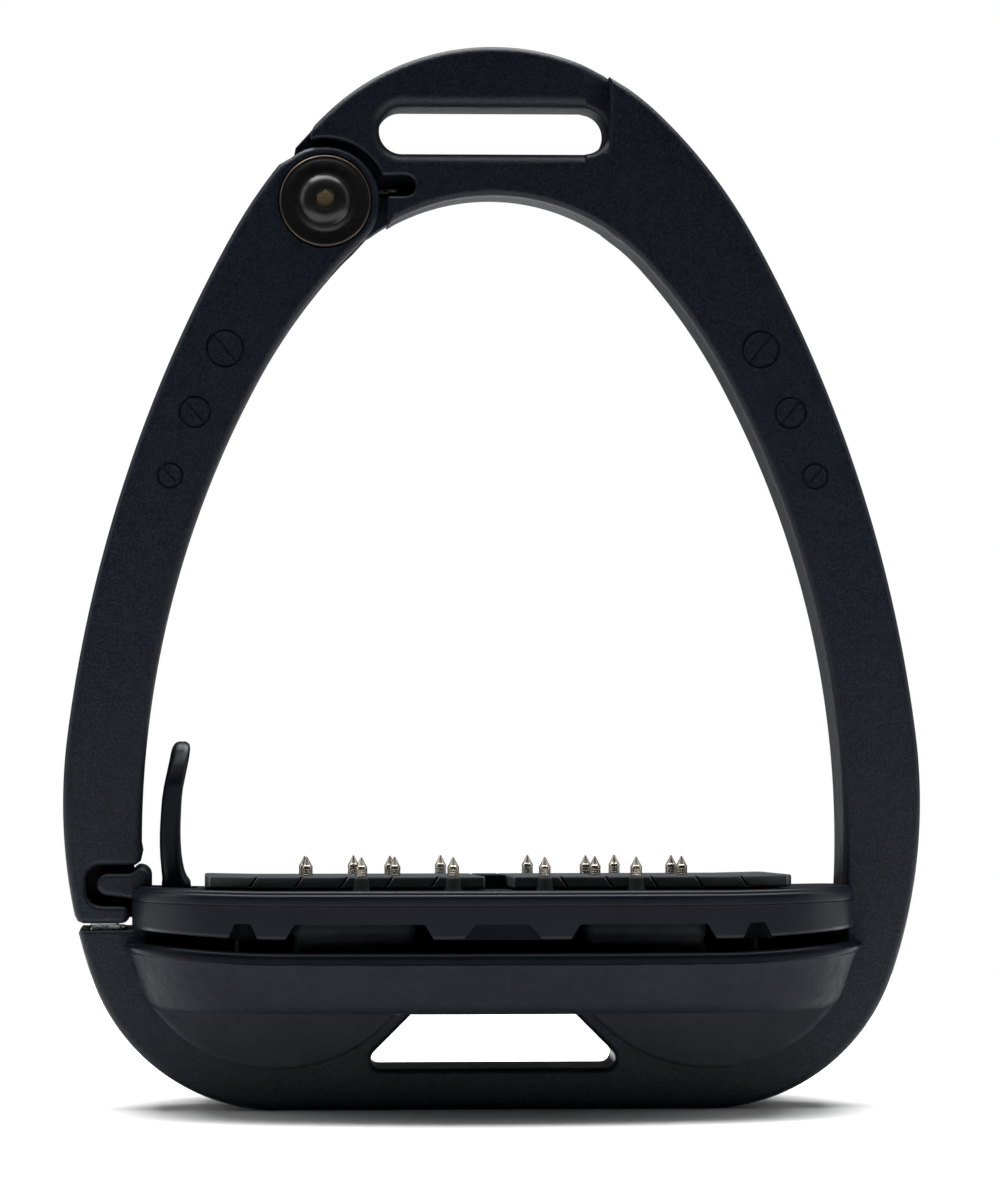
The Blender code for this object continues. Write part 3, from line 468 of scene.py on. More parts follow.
def tidied(obj):
    """Merges the flat facets and the doubled points that a Boolean leaves, and closes slits."""
    with editing(obj.data) as bm:
        bmesh.ops.remove_doubles(bm, verts=bm.verts, dist=0.002)
        bmesh.ops.dissolve_degenerate(bm, edges=bm.edges, dist=0.002)
        bmesh.ops.dissolve_limit(bm, angle_limit=0.1 * DEG, verts=bm.verts, edges=bm.edges)
        bmesh.ops.holes_fill(bm, edges=[e for e in bm.edges if e.is_boundary], sides=4)
    return obj


def combine(target, tools, operation):
    """Adds the tools to the target, or cuts them from it, and removes them."""
    for tool in tools:
        modifier = target.modifiers.new(operation.lower(), "BOOLEAN")
        modifier.operation = operation
        modifier.solver = "EXACT"
        modifier.object = tool
        graph = bpy.context.evaluated_depsgraph_get()
        made = bpy.data.meshes.new_from_object(target.evaluated_get(graph))
        target.modifiers.clear()
        target.data = made
        bpy.data.objects.remove(tool)
    return tidied(target)


def cut(target, *tools):
    return combine(target, tools, "DIFFERENCE")


def add(target, *tools):
    return combine(target, tools, "UNION")


def joined(name, objects):
    """One mesh from several separate closed ones."""
    mesh = bpy.data.meshes.new(name)
    with editing(mesh) as bm:
        for obj in objects:
            bm.from_mesh(obj.data)
            bpy.data.objects.remove(obj)
    return shown(name, mesh)


def settle(obj, body, slot, *replaced, sharp=34, finish=None):
    """Turns a finished shape into a piece: metres, smooth shading, finish, body and CAD nodes."""
    obj.data.transform(Matrix.Scale(MM, 4))
    with editing(obj.data) as bm:
        for face in bm.faces:
            face.smooth = True
        for edge in bm.edges:
            edge.smooth = edge.calc_face_angle(0.0) < sharp * DEG
    weighted = obj.modifiers.new("weighted_normals", "WEIGHTED_NORMAL")
    weighted.keep_sharp = True
    weighted.weight = 100
    obj.data.materials.append(FINISHES[finish or slot])
    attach(obj, body)
    if replaced:
        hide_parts(*replaced)
    return obj


# ---- finishes

NOISE_LOW, NOISE_HIGH = 0.3, 0.7  # the range that most of a noise stays in


def set_stops(ramp, stops):
    """Gives a colour ramp node its stops, each a place and a colour."""
    elements = ramp.color_ramp.elements
    while len(elements) < len(stops):
        elements.new(0.5)
    for element, (at, colour) in zip(elements, stops):
        element.position = at
        element.color = (*colour, 1)


class Finish:
    """A material whose colour, roughness and relief come from noise in the piece's own space."""

    def __init__(self, name, metal=0.0, specular=0.5):
        self.material = bpy.data.materials.new(name)
        self.material.use_nodes = True
        self.tree = self.material.node_tree
        self.shader = self.tree.nodes["Principled BSDF"]
        self.shader.inputs["Metallic"].default_value = metal
        self.shader.inputs["Specular IOR Level"].default_value = specular
        self.space = self.tree.nodes.new("ShaderNodeTexCoord").outputs["Object"]
        self.normal = None

    def link(self, a, b):
        self.tree.links.new(a, b)

    def node(self, kind, source, into, out, **values):
        """Adds a node with these plain inputs, feeds source into it and gives its output."""
        node = self.tree.nodes.new("ShaderNode" + kind)
        for name, value in values.items():
            node.inputs[name.replace("_", " ")].default_value = value
        self.link(source, node.inputs[into])
        return node.outputs[out]

    def noise(self, size, detail=2.0, rough=0.5, stretch=None):
        """Noise with features about size millimetres across."""
        source = self.space
        if stretch:
            source = self.node("Mapping", source, "Vector", "Vector", Scale=stretch)
        scale = 1 / (size * MM)
        return self.node(
            "TexNoise", source, "Vector", "Fac", Scale=scale, Detail=detail, Roughness=rough)

    def cells(self, size):
        """Small rounded cells about size millimetres apart."""
        node = self.tree.nodes.new("ShaderNodeTexVoronoi")
        node.feature = "SMOOTH_F1"
        node.inputs["Scale"].default_value = 1 / (size * MM)
        node.inputs["Smoothness"].default_value = 0.3
        self.link(self.space, node.inputs["Vector"])
        return node.outputs["Distance"]

    def ramp(self, source, dark, light, low=NOISE_LOW, high=NOISE_HIGH):
        """Runs from dark to light while source goes from low to high."""
        colour = self.node("ValToRGB", source, "Fac", "Color")
        set_stops(colour.node, [(low, dark), (high, light)])
        return colour

    def spread(self, source, low, high):
        """Maps the usual range of a noise to low and high."""
        return self.node(
            "MapRange", source, "Value", "Result",
            From_Min=NOISE_LOW, From_Max=NOISE_HIGH, To_Min=low, To_Max=high)

    def mix(self, factor, under, over):
        """Lays a plain colour over another by a factor."""
        node = self.tree.nodes.new("ShaderNodeMix")
        node.data_type = "RGBA"
        self.link(factor, node.inputs[0])
        self.link(under, node.inputs[6])
        node.inputs[7].default_value = (*over, 1)
        return node.outputs[2]

    def relief(self, source, depth):
        """Adds relief about depth millimetres high."""
        normal = self.node("Bump", source, "Height", "Normal", Strength=1.0, Distance=depth * MM)
        if self.normal:
            self.link(self.normal, normal.node.inputs["Normal"])
        self.normal = normal
        return self

    def done(self, colour, rough):
        self.link(colour, self.shader.inputs["Base Color"])
        self.link(rough, self.shader.inputs["Roughness"])
        if self.normal:
            self.link(self.normal, self.shader.inputs["Normal"])
        return self.material


def powder_coat():
    """Fine speckled coat on the metal."""
    f = Finish("powder_coat", specular=0.18)
    grain = f.noise(0.3, 2.0, 0.6)
    colour = f.ramp(f.noise(14.0, 3.0), (0.0018, 0.0034, 0.0072), (0.0028, 0.0046, 0.0090))
    flecks = f.ramp(grain, (0, 0, 0), (1, 1, 1), 0.42, 0.68)
    colour = f.mix(flecks, colour, (0.012, 0.016, 0.025))
    f.relief(grain, 0.08).relief(f.noise(1.3, 2.0), 0.03)
    return f.done(colour, f.spread(f.noise(2.5, 3.0), 0.34, 0.44))


def satin_plastic(name, specular):
    """Nearly smooth moulded plastic."""
    f = Finish(name, specular=specular)
    grain = f.noise(0.5, 3.0, 0.6)
    colour = f.ramp(f.noise(11.0, 3.0), (0.0020, 0.0036, 0.0070), (0.0030, 0.0048, 0.0086))
    f.relief(grain, 0.012).relief(f.noise(4.0, 2.0), 0.02)
    return f.done(colour, f.spread(f.noise(3.0, 3.0), 0.3, 0.4))


def grained_plastic(name, dark, light):
    """Plastic with a moulded leather-like grain."""
    f = Finish(name, specular=0.14)
    colour = f.ramp(f.noise(9.0, 4.0), dark, light)
    f.relief(f.cells(0.5), 0.05).relief(f.noise(0.35, 3.0, 0.6), 0.03)
    return f.done(colour, f.spread(f.noise(1.6, 3.0), 0.52, 0.68))


def rubber():
    """Matt, slightly uneven rubber of the pads."""
    f = Finish("pad_rubber", specular=0.16)
    grain = f.noise(0.5, 4.0, 0.65)
    colour = f.ramp(f.noise(6.0, 4.0), (0.024, 0.027, 0.031), (0.034, 0.037, 0.041))
    f.relief(grain, 0.05).relief(f.noise(2.4, 2.0), 0.05)
    return f.done(colour, f.spread(grain, 0.62, 0.8))


def bright_steel(name, tint, low, high):
    """Metal with fine turning marks around Z."""
    f = Finish(name, metal=1.0)
    rings = f.noise(0.25, 2.0, 0.5, (0.15, 0.15, 1.0))
    colour = f.ramp(f.noise(1.5, 3.0), tuple(0.82 * c for c in tint), tint)
    f.relief(rings, 0.01)
    return f.done(colour, f.spread(rings, low, high))


def clouded(name, metal, specular, dark, light, cloud, grain, gloss):
    """A simple finish. Each noise is (size, detail), then the depth or the range it gives."""
    f = Finish(name, metal, specular)
    colour = f.ramp(f.noise(*cloud), dark, light)
    f.relief(f.noise(*grain[:2]), grain[2])
    return f.done(colour, f.spread(f.noise(*gloss[:2]), *gloss[2:]))


FINISHES = {"powder_coat": powder_coat(), "pad_rubber": rubber()}
# The second is painted shade: the same plastic with little specular, so the inside of the deck
# reads darker than its skirt.
for name, specular in (("satin_plastic", 0.16), ("moulded_inside", 0.06)):
    FINISHES[name] = satin_plastic(name, specular)
for name, dark, light in (
    ("grained_plastic", (0.0036, 0.0056, 0.0094), (0.006, 0.0084, 0.0128)),
    # painted light: a far lighter copy of the grained plastic for the lobes, making up for the
    # shade under the carrier
    ("grained_lobe", (0.0165, 0.0195, 0.0245), (0.0225, 0.026, 0.0315)),
):
    FINISHES[name] = grained_plastic(name, dark, light)
for name, tint, low, high in (
    ("stud_steel", (0.46, 0.42, 0.36), 0.22, 0.38),
    ("plain_steel", (0.60, 0.60, 0.60), 0.22, 0.4),
    ("insert_brass", (0.86, 0.66, 0.36), 0.25, 0.42),
    ("magnet_nickel", (0.34, 0.38, 0.38), 0.2, 0.34),
    ("bronze_edge", (0.11, 0.085, 0.062), 0.42, 0.52),
):
    FINISHES[name] = bright_steel(name, tint, low, high)
for name, metal, specular, dark, light, *noises in (
    ("smooth_lip", 0, 0.03, (0.002, 0.003, 0.005), (0.0028, 0.004, 0.0062),
     (8.0, 3.0), (0.6, 3.0, 0.01), (3.0, 3.0, 0.26, 0.36)),
    # painted highlight: light rubber for the flared sipe walls, standing in for the light they
    # catch
    ("cut_rubber", 0, 0.2, (0.060, 0.064, 0.068), (0.095, 0.1, 0.105),
     (1.5, 3.0), (0.4, 3.0, 0.02), (1.0, 2.0, 0.5, 0.65)),
    ("elastomer", 0, 0.2, (0.006, 0.011, 0.0135), (0.009, 0.015, 0.018),
     (5.0, 4.0), (0.6, 3.0, 0.03), (2.0, 3.0, 0.5, 0.66)),
    ("black_oxide", 0.7, 0.4, (0.019, 0.019, 0.02), (0.025, 0.024, 0.024),
     (3.0, 3.0), (0.2, 2.0, 0.002), (0.8, 2.0, 0.27, 0.33)),
    ("nylon", 0, 0.5, (0.55, 0.54, 0.5), (0.66, 0.65, 0.61),
     (3.0, 3.0), (0.5, 2.0, 0.01), (1.5, 2.0, 0.4, 0.55)),
):
    FINISHES[name] = clouded(name, metal, specular, dark, light, *noises)


# ---- iron

outer = chain(HEIGHT, OUTER_ARCS)
inner = chain(INNER_TOP, INNER_ARCS)
BASE_X = outer[-1][0]
outer[-1] = (BASE_X, 0.0)


def flip(points):
    return [(-x, z) for x, z in points]


def between(points, z0, z1, apart=0.5):
    """The part of a chain from height z0 down to z1, with its end points."""
    ends = [(x_at(points, z0), z0)], [(x_at(points, z1), z1)]
    inside = [p for p in points if z1 < p[1] < z0]
    clear = [p for p in inside if min(math.dist(p, e[0]) for e in ends) > apart]
    return ends[0] + clear + ends[1]


def roundel_cutters(side):
    """Engraved rings with a slot across them, down one arm."""
    tools = []
    for x, z, r in ROUNDELS:
        ring = [(r - 0.75, -HALF - 0.5), (r + 0.05, -HALF - 0.5), (r - 0.12, -HALF + 0.1)]
        ring += [(r - 0.3, -HALF + 0.34), (r - 0.42, -HALF + 0.34), (r - 0.6, -HALF + 0.1)]
        at = (side * x, z)
        tools.append(revolve("roundel", ring, at, "y", n=72, closed=True))
        lean = 50 * DEG if side > 0 else 130 * DEG
        d, w = Vector((math.cos(lean), math.sin(lean))) * (r - 0.36), 0.2
        n = Vector((-d.y, d.x)).normalized() * w
        c = Vector(at)
        loop = [tuple(c - d - n), tuple(c + d - n), tuple(c + d + n), tuple(c - d + n)]
        tools.append(slab("roundel_slot", [(loop, 0.0)], -HALF - 1, -HALF + 0.28))
    return tools


def set_back(x, y, z):
    """Sinks the face of the bridge at its right end, fading out under the slot."""
    along = min(max((x - STEP_X) / STEP_RUN + 1, 0), 1)
    along *= along * (3 - 2 * along)
    up = min(max((z - SLOT_Z0 + 1.5) / STEP_FADE, 0), 1)
    up *= up * (3 - 2 * up)
    return x, y + STEP_DEPTH * along * up * (HALF - y) / DEPTH, z


def gap_angle(z):
    """Where the gap round the eye crosses height z, in degrees."""
    return math.degrees(math.asin((z - PIVOT[1]) / EYE_GAP_R))


def near_pivot(points):
    return [p for p in points if math.dist(p, PIVOT) < NECK_R]


def build_frame():
    """The iron with its latch, the bridge with the leather slot, and the pivot's tongue."""
    ledge_x = -x_at(outer, LEDGE_Z)
    left = flip(between(outer, LEDGE_Z - 0.6, 0.0))[::-1]
    finger_r = (FINGER_Z1 - FINGER_Z0) / 2
    loop = between(outer, z_at(outer, STEP_X), 0.0, 3.0)
    radii = [EDGE] * len(loop)
    loop += left + [(ledge_x + 0.6, LEDGE_Z)]
    radii += [EDGE] * len(left) + [LEDGE_EDGE]
    latch = [(ROOT_X0 - 0.7, LEDGE_Z), (ROOT_X0, LEDGE_Z + 0.7), (ROOT_X0, FINGER_Z0 - 0.6)]
    latch += arc(FINGER_X + finger_r, FINGER_Z0 + finger_r, finger_r, 270, 90, 20)
    latch += [(ROOT_X0 - 0.9, FINGER_Z1), (ROOT_X0 - 0.1, FINGER_Z1 + 0.55)]
    latch += arc(ROOT_X1 - ROOT_R, ROOT_Z - ROOT_R, ROOT_R, 100, 0, 8)
    loop += latch
    radii += [LEDGE_EDGE] * 3 + [FINGER_EDGE] * (len(latch) - 3)
    floor = arc(ROOT_X1 + WEB_FILLET, WEB_TOP + WEB_FILLET, WEB_FILLET, 180, 270, 12)
    right_x = inner[-1][0]
    floor += arc(right_x - WEB_FILLET, WEB_TOP + WEB_FILLET, WEB_FILLET, 270, 360, 12)
    up = between(inner, z_at(inner, STEP_X), inner[-1][1], 3.0)[::-1]
    shoulder = [(STEP_X, z) for z in (STEP_Z0, SLOT_Z0 - 0.5, SLOT_Z0 + 4.0, STEP_Z1)]
    loop += floor + up + shoulder
    radii += [EDGE] * (len(floor) + len(up)) + [0.05, 0.05, 1.0, EDGE]
    loop, radii = loop[::-1], radii[::-1]
    window = (rounded(WINDOW, WINDOW_R, 10), WINDOW_EDGE)
    iron = slab("iron", [(loop, radii), window], -HALF, HALF)

    top = [p for p in flip(outer)[::-1] + outer[1:] if TIP[0] + 0.6 < p[0] < STEP_X - 0.6]
    under = [p for p in flip(inner)[::-1] + inner[1:] if -17.6 < p[0] < STEP_X - 0.6]
    crown = [(x, z - 0.12) for x, z in top] + [(STEP_X - 0.2, z_at(outer, STEP_X) - 0.12)]
    end = STEP_X + BRIDGE_LAP
    crown += [(end, z_at(outer, end) - 3), (end, z_at(inner, end) + 3)]
    belly = [(x, z + 0.12) for x, z in under][::-1]
    lip = arc(*PIVOT, EYE_GAP_R, gap_angle(LIP_Z + 0.9), gap_angle(SPRING_SLOT_Z0), 8)
    slot_r = (SPRING_SLOT_Z1 - SPRING_SLOT_Z0) / 2
    lip += arc(SPRING_SLOT_X - slot_r, SPRING_SLOT_Z0 + slot_r, slot_r, -90, 90, 20)
    reach = math.degrees(math.atan2(TIP[1] - PIVOT[1], TIP[0] - PIVOT[0])) - 0.5
    lip += arc(*PIVOT, EYE_GAP_R, gap_angle(SPRING_SLOT_Z1), reach, 30)
    tip = [(TIP[0], TIP[1] - 0.4), (TIP[0] + 0.15, TIP[1] + 0.25)]
    foot = [(-18.1, 153.5)]
    loop = crown + [(STEP_X - 0.2, z_at(inner, STEP_X) + 0.12)] + belly + foot + lip + tip
    radii = [EDGE] * (len(crown) + 1 + len(belly)) + [0.6] * (len(foot) + len(lip) + len(tip))
    loop, radii = loop[::-1], radii[::-1]
    slot_mid, slot_half = (SLOT_Z0 + SLOT_Z1) / 2, (SLOT_Z1 - SLOT_Z0) / 2
    slot = arc(SLOT_X - slot_half, slot_mid, slot_half, -90, 90, 30)
    along = (-12.0, -6.0, 0.0, 6.0, 12.0)
    slot += [(-x, SLOT_Z1) for x in along]
    slot += arc(-SLOT_X + slot_half, slot_mid, slot_half, 90, 270, 30)
    slot += [(x, SLOT_Z0) for x in along]
    roll = [SLOT_END_ROLL if x > SLOT_X - slot_half else SLOT_ROLL for x, _ in slot]
    bridge = slab("bridge", [(loop, radii), (slot, roll)], -HALF, HALF - 0.1, grid=4.0)
    bend(bridge, set_back)

    neck = [(x, z - 0.3) for x, z in near_pivot(flip(outer)[::-1]) if x > -34.6]
    throat = [(x, z + 0.3) for x, z in near_pivot(flip(inner)) if x > -22.0]
    loop = neck + arc(*PIVOT, NECK_R, 97, -13, 8) + throat + arc(*PIVOT, 9.2, -48, -234, 36)
    tongue = slab("tongue", [(loop[::-1], 0.3)], -TONGUE_HALF, TONGUE_HALF, steps=3)
    slot_back = box("slot_back", -20.3, -12.6, -2.8, 2.8, 157.6, 162.8)
    add(iron, bridge, tongue, slot_back)

    sides = (-MAGNET_HALF, MAGNET_HALF)
    tools = [
        rod("pivot_bore", BORE_R, PIVOT, -20, 20, "y"),
        rod("spring_pocket", 7.6, PIVOT, -5, -0.5, "y"),
        box("leg_channel", -24, -15.4, -5, -0.9, SPRING_SLOT_Z0 + 0.02, 160.3),
        box("magnet_pocket", MAGNET_X, -63.5, *sides, 29.5, LEDGE_Z + 1),
        box("web_room", -71, ROOT_X0, WEB_Y - GAP, HALF + 2, TOE_Z1, NOTCH_Z),
    ]
    for side in (-1, 1):
        at = (side * CARRIER_SCREW_X, 0)
        tools.append(rod("web_hole", 2.3, at, 13.5, WEB_TOP + 3, "z"))
    cut(iron, *tools, *roundel_cutters(1))
    settle(iron, "frame", "powder_coat", "frame")


def build_arm():
    """The arm, with its eye, forked for the tongue, and the notch and toe of the latch."""
    side = flip(between(outer, ARM_OUTER_Z, TOE_Z0 + 1.3))
    toe_x = -x_at(outer, TOE_Z0 + 0.4)
    toe_r = (TOE_Z1 - TOE_Z0) / 2
    latch = [(toe_x + 0.35, TOE_Z0 + 0.35), (toe_x + 1.3, TOE_Z0)]
    latch += arc(TOE_X - toe_r, TOE_Z0 + toe_r, toe_r, -90, 90, 20)
    latch += arc(NOTCH_X + NOTCH_R, TOE_Z1 + NOTCH_R, NOTCH_R, 270, 180, 14)
    latch += arc(NOTCH_X + NOTCH_R, NOTCH_Z - NOTCH_R, NOTCH_R, 180, 90, 14)
    latch += [(-61.9, NOTCH_Z), (-61.0, NOTCH_Z + 0.7), (-60.7, NOTCH_Z + 2.0)]
    inside = flip(between(inner, ARM_INNER_Z, NOTCH_Z + 3.5))[::-1]
    eye = arc(*PIVOT, EYE_R, -46, 128, 70)
    loop = side + latch + inside + eye
    radii = [EDGE] * len(side) + [1.0] * len(latch) + [EDGE] * len(inside) + [1.0] * len(eye)
    arm = slab("opening_arm", [(loop, radii)], -HALF, HALF)
    half = [(FORK_R, 0), (FORK_R, FORK_HALF), (BORE_R, FORK_HALF), (BORE_R, HALF - 1)]
    half += [(CAP_SEAT_R, HALF - 1), (CAP_SEAT_R, HALF + 2), (0, HALF + 2)]
    eye_bore = [(r, -y) for r, y in half[:0:-1]] + half[1:]
    pocket = box("toe_pocket", MAGNET_X, -64.5, -MAGNET_HALF, MAGNET_HALF, TOE_Z0 - 1, 34.1)
    cut(arm, revolve("eye_bore", eye_bore, PIVOT, "y"), pocket, *roundel_cutters(-1))
    x0, x1, x2 = NOTCH_X - 0.8, TOE_X - 1.3, ROOT_X0 - GAP
    z0, z1, z2 = TOE_Z0 + 0.4, TOE_Z1 - 0.7, NOTCH_Z + 0.8
    web = [(x0, z1), (x1, z1), (x1, z0), (x2, z0), (x2, z2), (x0, z2)]
    add(arm, slab("web", [(web, 0.0)], WEB_Y, HALF - 0.7))
    settle(arm, "release_arm", "powder_coat", "release_arm")


# ---- pivot


def hexagon(across, centre):
    r = across / math.sqrt(3)
    return arc(*centre, r, 30, 330, 5)


def build_pivot():
    """Screw, washers, nut and the arm's spring. Profiles are (radius, height along Y)."""
    head = [(0, -11.5), (2.0, -11.5), (2.7, -11.42), (3.4, -11.15), (3.95, -10.75)]
    head += [(4.35, -10.25), (4.62, -9.6), (4.75, -8.95), (4.6, -8.75), (2.5, -8.75)]
    head += [(2.5, 7.6), (2.2, 8.0), (0, 8.0)]
    bolt = revolve("pivot_screw", head, PIVOT, "y")
    socket = slab("screw_socket", [(hexagon(3.0, PIVOT), 0.0)], -13, -9.7)
    lead = revolve("socket_lead", [(0, -11.2), (1.6, -11.2), (2.0, -11.7), (0, -11.7)], PIVOT, "y")
    cut(bolt, socket, lead)
    settle(bolt, "release_arm", "black_oxide", "pivot_bolt")
    drive = slab("socket_floor", [(hexagon(2.96, PIVOT), 0.0)], -10.2, -9.72)
    cut(drive, revolve("drill_point", [(0, -10.0), (0.9, -10.25), (0, -10.3)], PIVOT, "y", n=32))
    settle(drive, "release_arm", "insert_brass")

    dish = [(2.8, -7.3), (7.55, -7.3), (7.9, -7.5), (7.9, -8.25), (7.8, -8.4), (7.6, -8.5)]
    dish += [(7.3, -8.5), (7.05, -8.42), (6.8, -8.34), (5.6, -8.28), (5.2, -8.3), (5.0, -8.42)]
    dish += [(2.8, -8.45)]
    cap = revolve("cap_washer", dish, PIVOT, "y", n=128, closed=True)
    settle(cap, "release_arm", "black_oxide", "pivot_cap_washer")
    ring = [(7.7, -8.5), (7.8, -8.42), (7.88, -8.3), (7.9, -8.1), (7.8, -8.1), (7.68, -8.4)]
    rim = revolve("cap_rim", ring, PIVOT, "y", n=128, closed=True)
    settle(rim, "release_arm", "black_oxide", finish="bronze_edge")

    washer = [(2.8, 7.3), (7.6, 7.3), (7.9, 7.5), (7.9, 8.2), (7.6, 8.4), (2.8, 8.4)]
    washer = revolve("back_washer", washer, PIVOT, "y", closed=True)
    settle(washer, "release_arm", "black_oxide", "rear_washer")
    dome = [(0, 8.9), (2.8, 8.9), (2.8, 8.7), (4.6, 8.7), (4.55, 9.1), (4.4, 9.5), (4.05, 9.95)]
    dome += [(3.6, 10.25), (3.0, 10.48), (2.4, 10.58), (0, 10.6)]
    nut = revolve("domed_nut", dome, PIVOT, "y")
    cut(nut, slab("nut_socket", [(hexagon(2.5, PIVOT), 0.0)], 9.7, 12))
    settle(nut, "release_arm", "black_oxide", "pivot_nut")

    leg_y, leg_z = -2.6, SPRING_SLOT_Z0 + 1.0
    path = coil(PIVOT, 6.2, -1.0, leg_y, 600, 38, 110)
    path += [(-23.7, leg_y, leg_z + 1.1), (-22.4, leg_y, leg_z + 0.2), (-21.2, leg_y, leg_z)]
    path += [(-20.0, -2.8, leg_z), (-18.2, -4.6, leg_z), (-16.6, -5.2, leg_z)]
    settle(wire("arm_spring", path, 0.42), "frame", "plain_steel", "torsion_spring")


# ---- foot rest


def plan(grow=0.0, step=1.6):
    quarter = chain(PLAN_HALF_DEPTH + grow, [(r + grow, a) for r, a in PLAN_ARCS], step)
    quarter = [(x, y) for x, y in quarter if y > 0.5]
    front = [(x, -y) for x, y in quarter]
    half = front + [(x, y) for x, y in quarter[::-1]]
    return half + [(-x, y) for x, y in half[::-1] if x > 0.01]


def clip(loop, y_max, clear=4.0):
    """The part of a plan in front of y_max, closed straight across with long sides beside it."""
    kept = []
    for p, q in zip(loop, loop[1:] + loop[:1]):
        if p[1] <= y_max - clear:
            kept.append(p)
        if (p[1] <= y_max) != (q[1] <= y_max):
            t = (y_max - p[1]) / (q[1] - p[1])
            kept.append((p[0] + t * (q[0] - p[0]), y_max))
    return kept


def build_carrier():
    """The lower body: a tray with a lip, seats for the screws and a lobe on each web face."""
    outline = plan(CARRIER_GROW)
    lip = RIM_Z - 2.0
    base = [(7.6, 0), (6.4, 0.08), (5.4, 0.35), (4.6, 0.8), (4.0, 1.4), (3.5, 2.2)]
    groove = [(1.35, -0.75), (1.05, -0.3), (1.0, -0.1), (0.6, 0), (0.28, 0.2), (0.1, 0.5)]
    groove += [(0, 0.85)]
    rim = [(0.03, -0.85), (0.14, -0.55), (0.34, -0.3), (0.6, -0.12), (0.9, -0.03), (1.25, 0)]
    profile = []
    for level, part in ((CARRIER_Z, base), (lip, groove), (RIM_Z, rim)):
        profile += [(d, level + h) for d, h in part]
    carrier = pitched(loft("lower_body", outline, profile, grid=4.0))
    lobes = []
    for sx, sy in CORNERS:
        ends = sorted((sy * LOBE_Y, sy * (HALF + 0.2)))
        half_disc = arc(sx * LOBE_X, LOBE_Z, LOBE_R, -154, -26, 60)
        half_disc += [(half_disc[-1][0], SEAT_Z), (half_disc[0][0], SEAT_Z)]
        lobes.append(slab("lobe", [(half_disc, 0.9)], *ends, steps=5))
    low = TRAY_FLOOR - 1.5
    seats = [pitched(rod("seat", SEAT_R, at, low, SEAT_Z, "z")) for at in SCREWS]
    inner_wall = turned(plan(CARRIER_GROW, 4.0))
    front = turned(clip(inset(inner_wall, [WALL + 0.6] * len(inner_wall)), -SPINE_HALF))
    depth = [(3.0, TRAY_FLOOR), (1.2, TRAY_FLOOR + 1.5), (0, 25), (0, 32)]
    well = pitched(loft("well", front, depth))
    rear = behind(well)
    add(carrier, *lobes)
    cut(carrier, well, rear)
    add(carrier, *seats)
    slot = ARM_SLOT_HALF
    floor = WEB_TOP + 0.4
    saddle = [(-80, -5), (80, -5), (80, 40), (54.3, 40), (54.3, floor), (-52.8, floor)]
    saddle += [(-52.8, 40), (-80, 40)]
    tools = [slab("saddle", [(saddle, 0.0)], -slot, slot)]
    tools.append(box("roof_relief", -80, 80, -SPINE_HALF, SPINE_HALF, ROOF_Z, 40))
    for at in SCREWS:
        tools.append(pitched(rod("screw_way", SCREW_WAY_R, at, 10, 30, "z", n=24)))
        tools.append(pitched(rod("head_way", 4.5, at, 10, 21.5, "z", n=32)))
    for side in (-1, 1):
        at = (side * CARRIER_SCREW_X, 0)
        cone = [(0, 20), (SCREW_WAY_R, 20), (SCREW_WAY_R, 24.1), (4.3, 26.0), (4.6, 30), (0, 30)]
        tools.append(revolve("sink", cone, at, "z", n=32))
    cut(carrier, *tools)
    settle(carrier, "frame", "grained_plastic", "carrier")
    carrier.data.materials.append(FINISHES["smooth_lip"])
    carrier.data.materials.append(FINISHES["grained_lobe"])
    for face in carrier.data.polygons:
        x, y, z = face.center / MM
        level = z + PITCH * y
        if level - rise(x, level) > lip - 0.05 and abs(y) > 10:
            face.material_index = 1
        # Painted light: the lobes below the carrier get the lighter copy of the grain, against the
        # shade of the carrier's overhang.
        if level < CARRIER_Z + 0.4 and abs(y) < LOBE_Y + 0.1:
            face.material_index = 2


def skirt_face(x):
    """How far the front of the skirt lies from the middle plane, at x."""
    bow = PLAN_ARCS[0][0]
    return PLAN_HALF_DEPTH - bow + math.sqrt(bow * bow - x * x)


def skirt_cutters():
    """The notches in the skirt; the middle one is only a recess."""
    tools = []
    for x, wide, narrow, deep in NOTCHES:
        for sx in (-1, 1) if x else (1,):
            c = sx * x
            z0, z1 = SKIRT_Z - 1.0, SKIRT_Z + NOTCH_H
            grow = (wide - narrow) / 2 / NOTCH_H
            a, b = wide / 2 + grow, narrow / 2
            corners = [(c - a, z0), (c + a, z0), (c + b, z1), (c - b, z1)]
            loop = rounded(corners, [0, 0, 0.45, 0.45], 6)
            tool = pitched(slab("notch", [(loop, 0.0)], -50, deep - skirt_face(c)))
            tools += [tool, behind(tool)]
    return tools


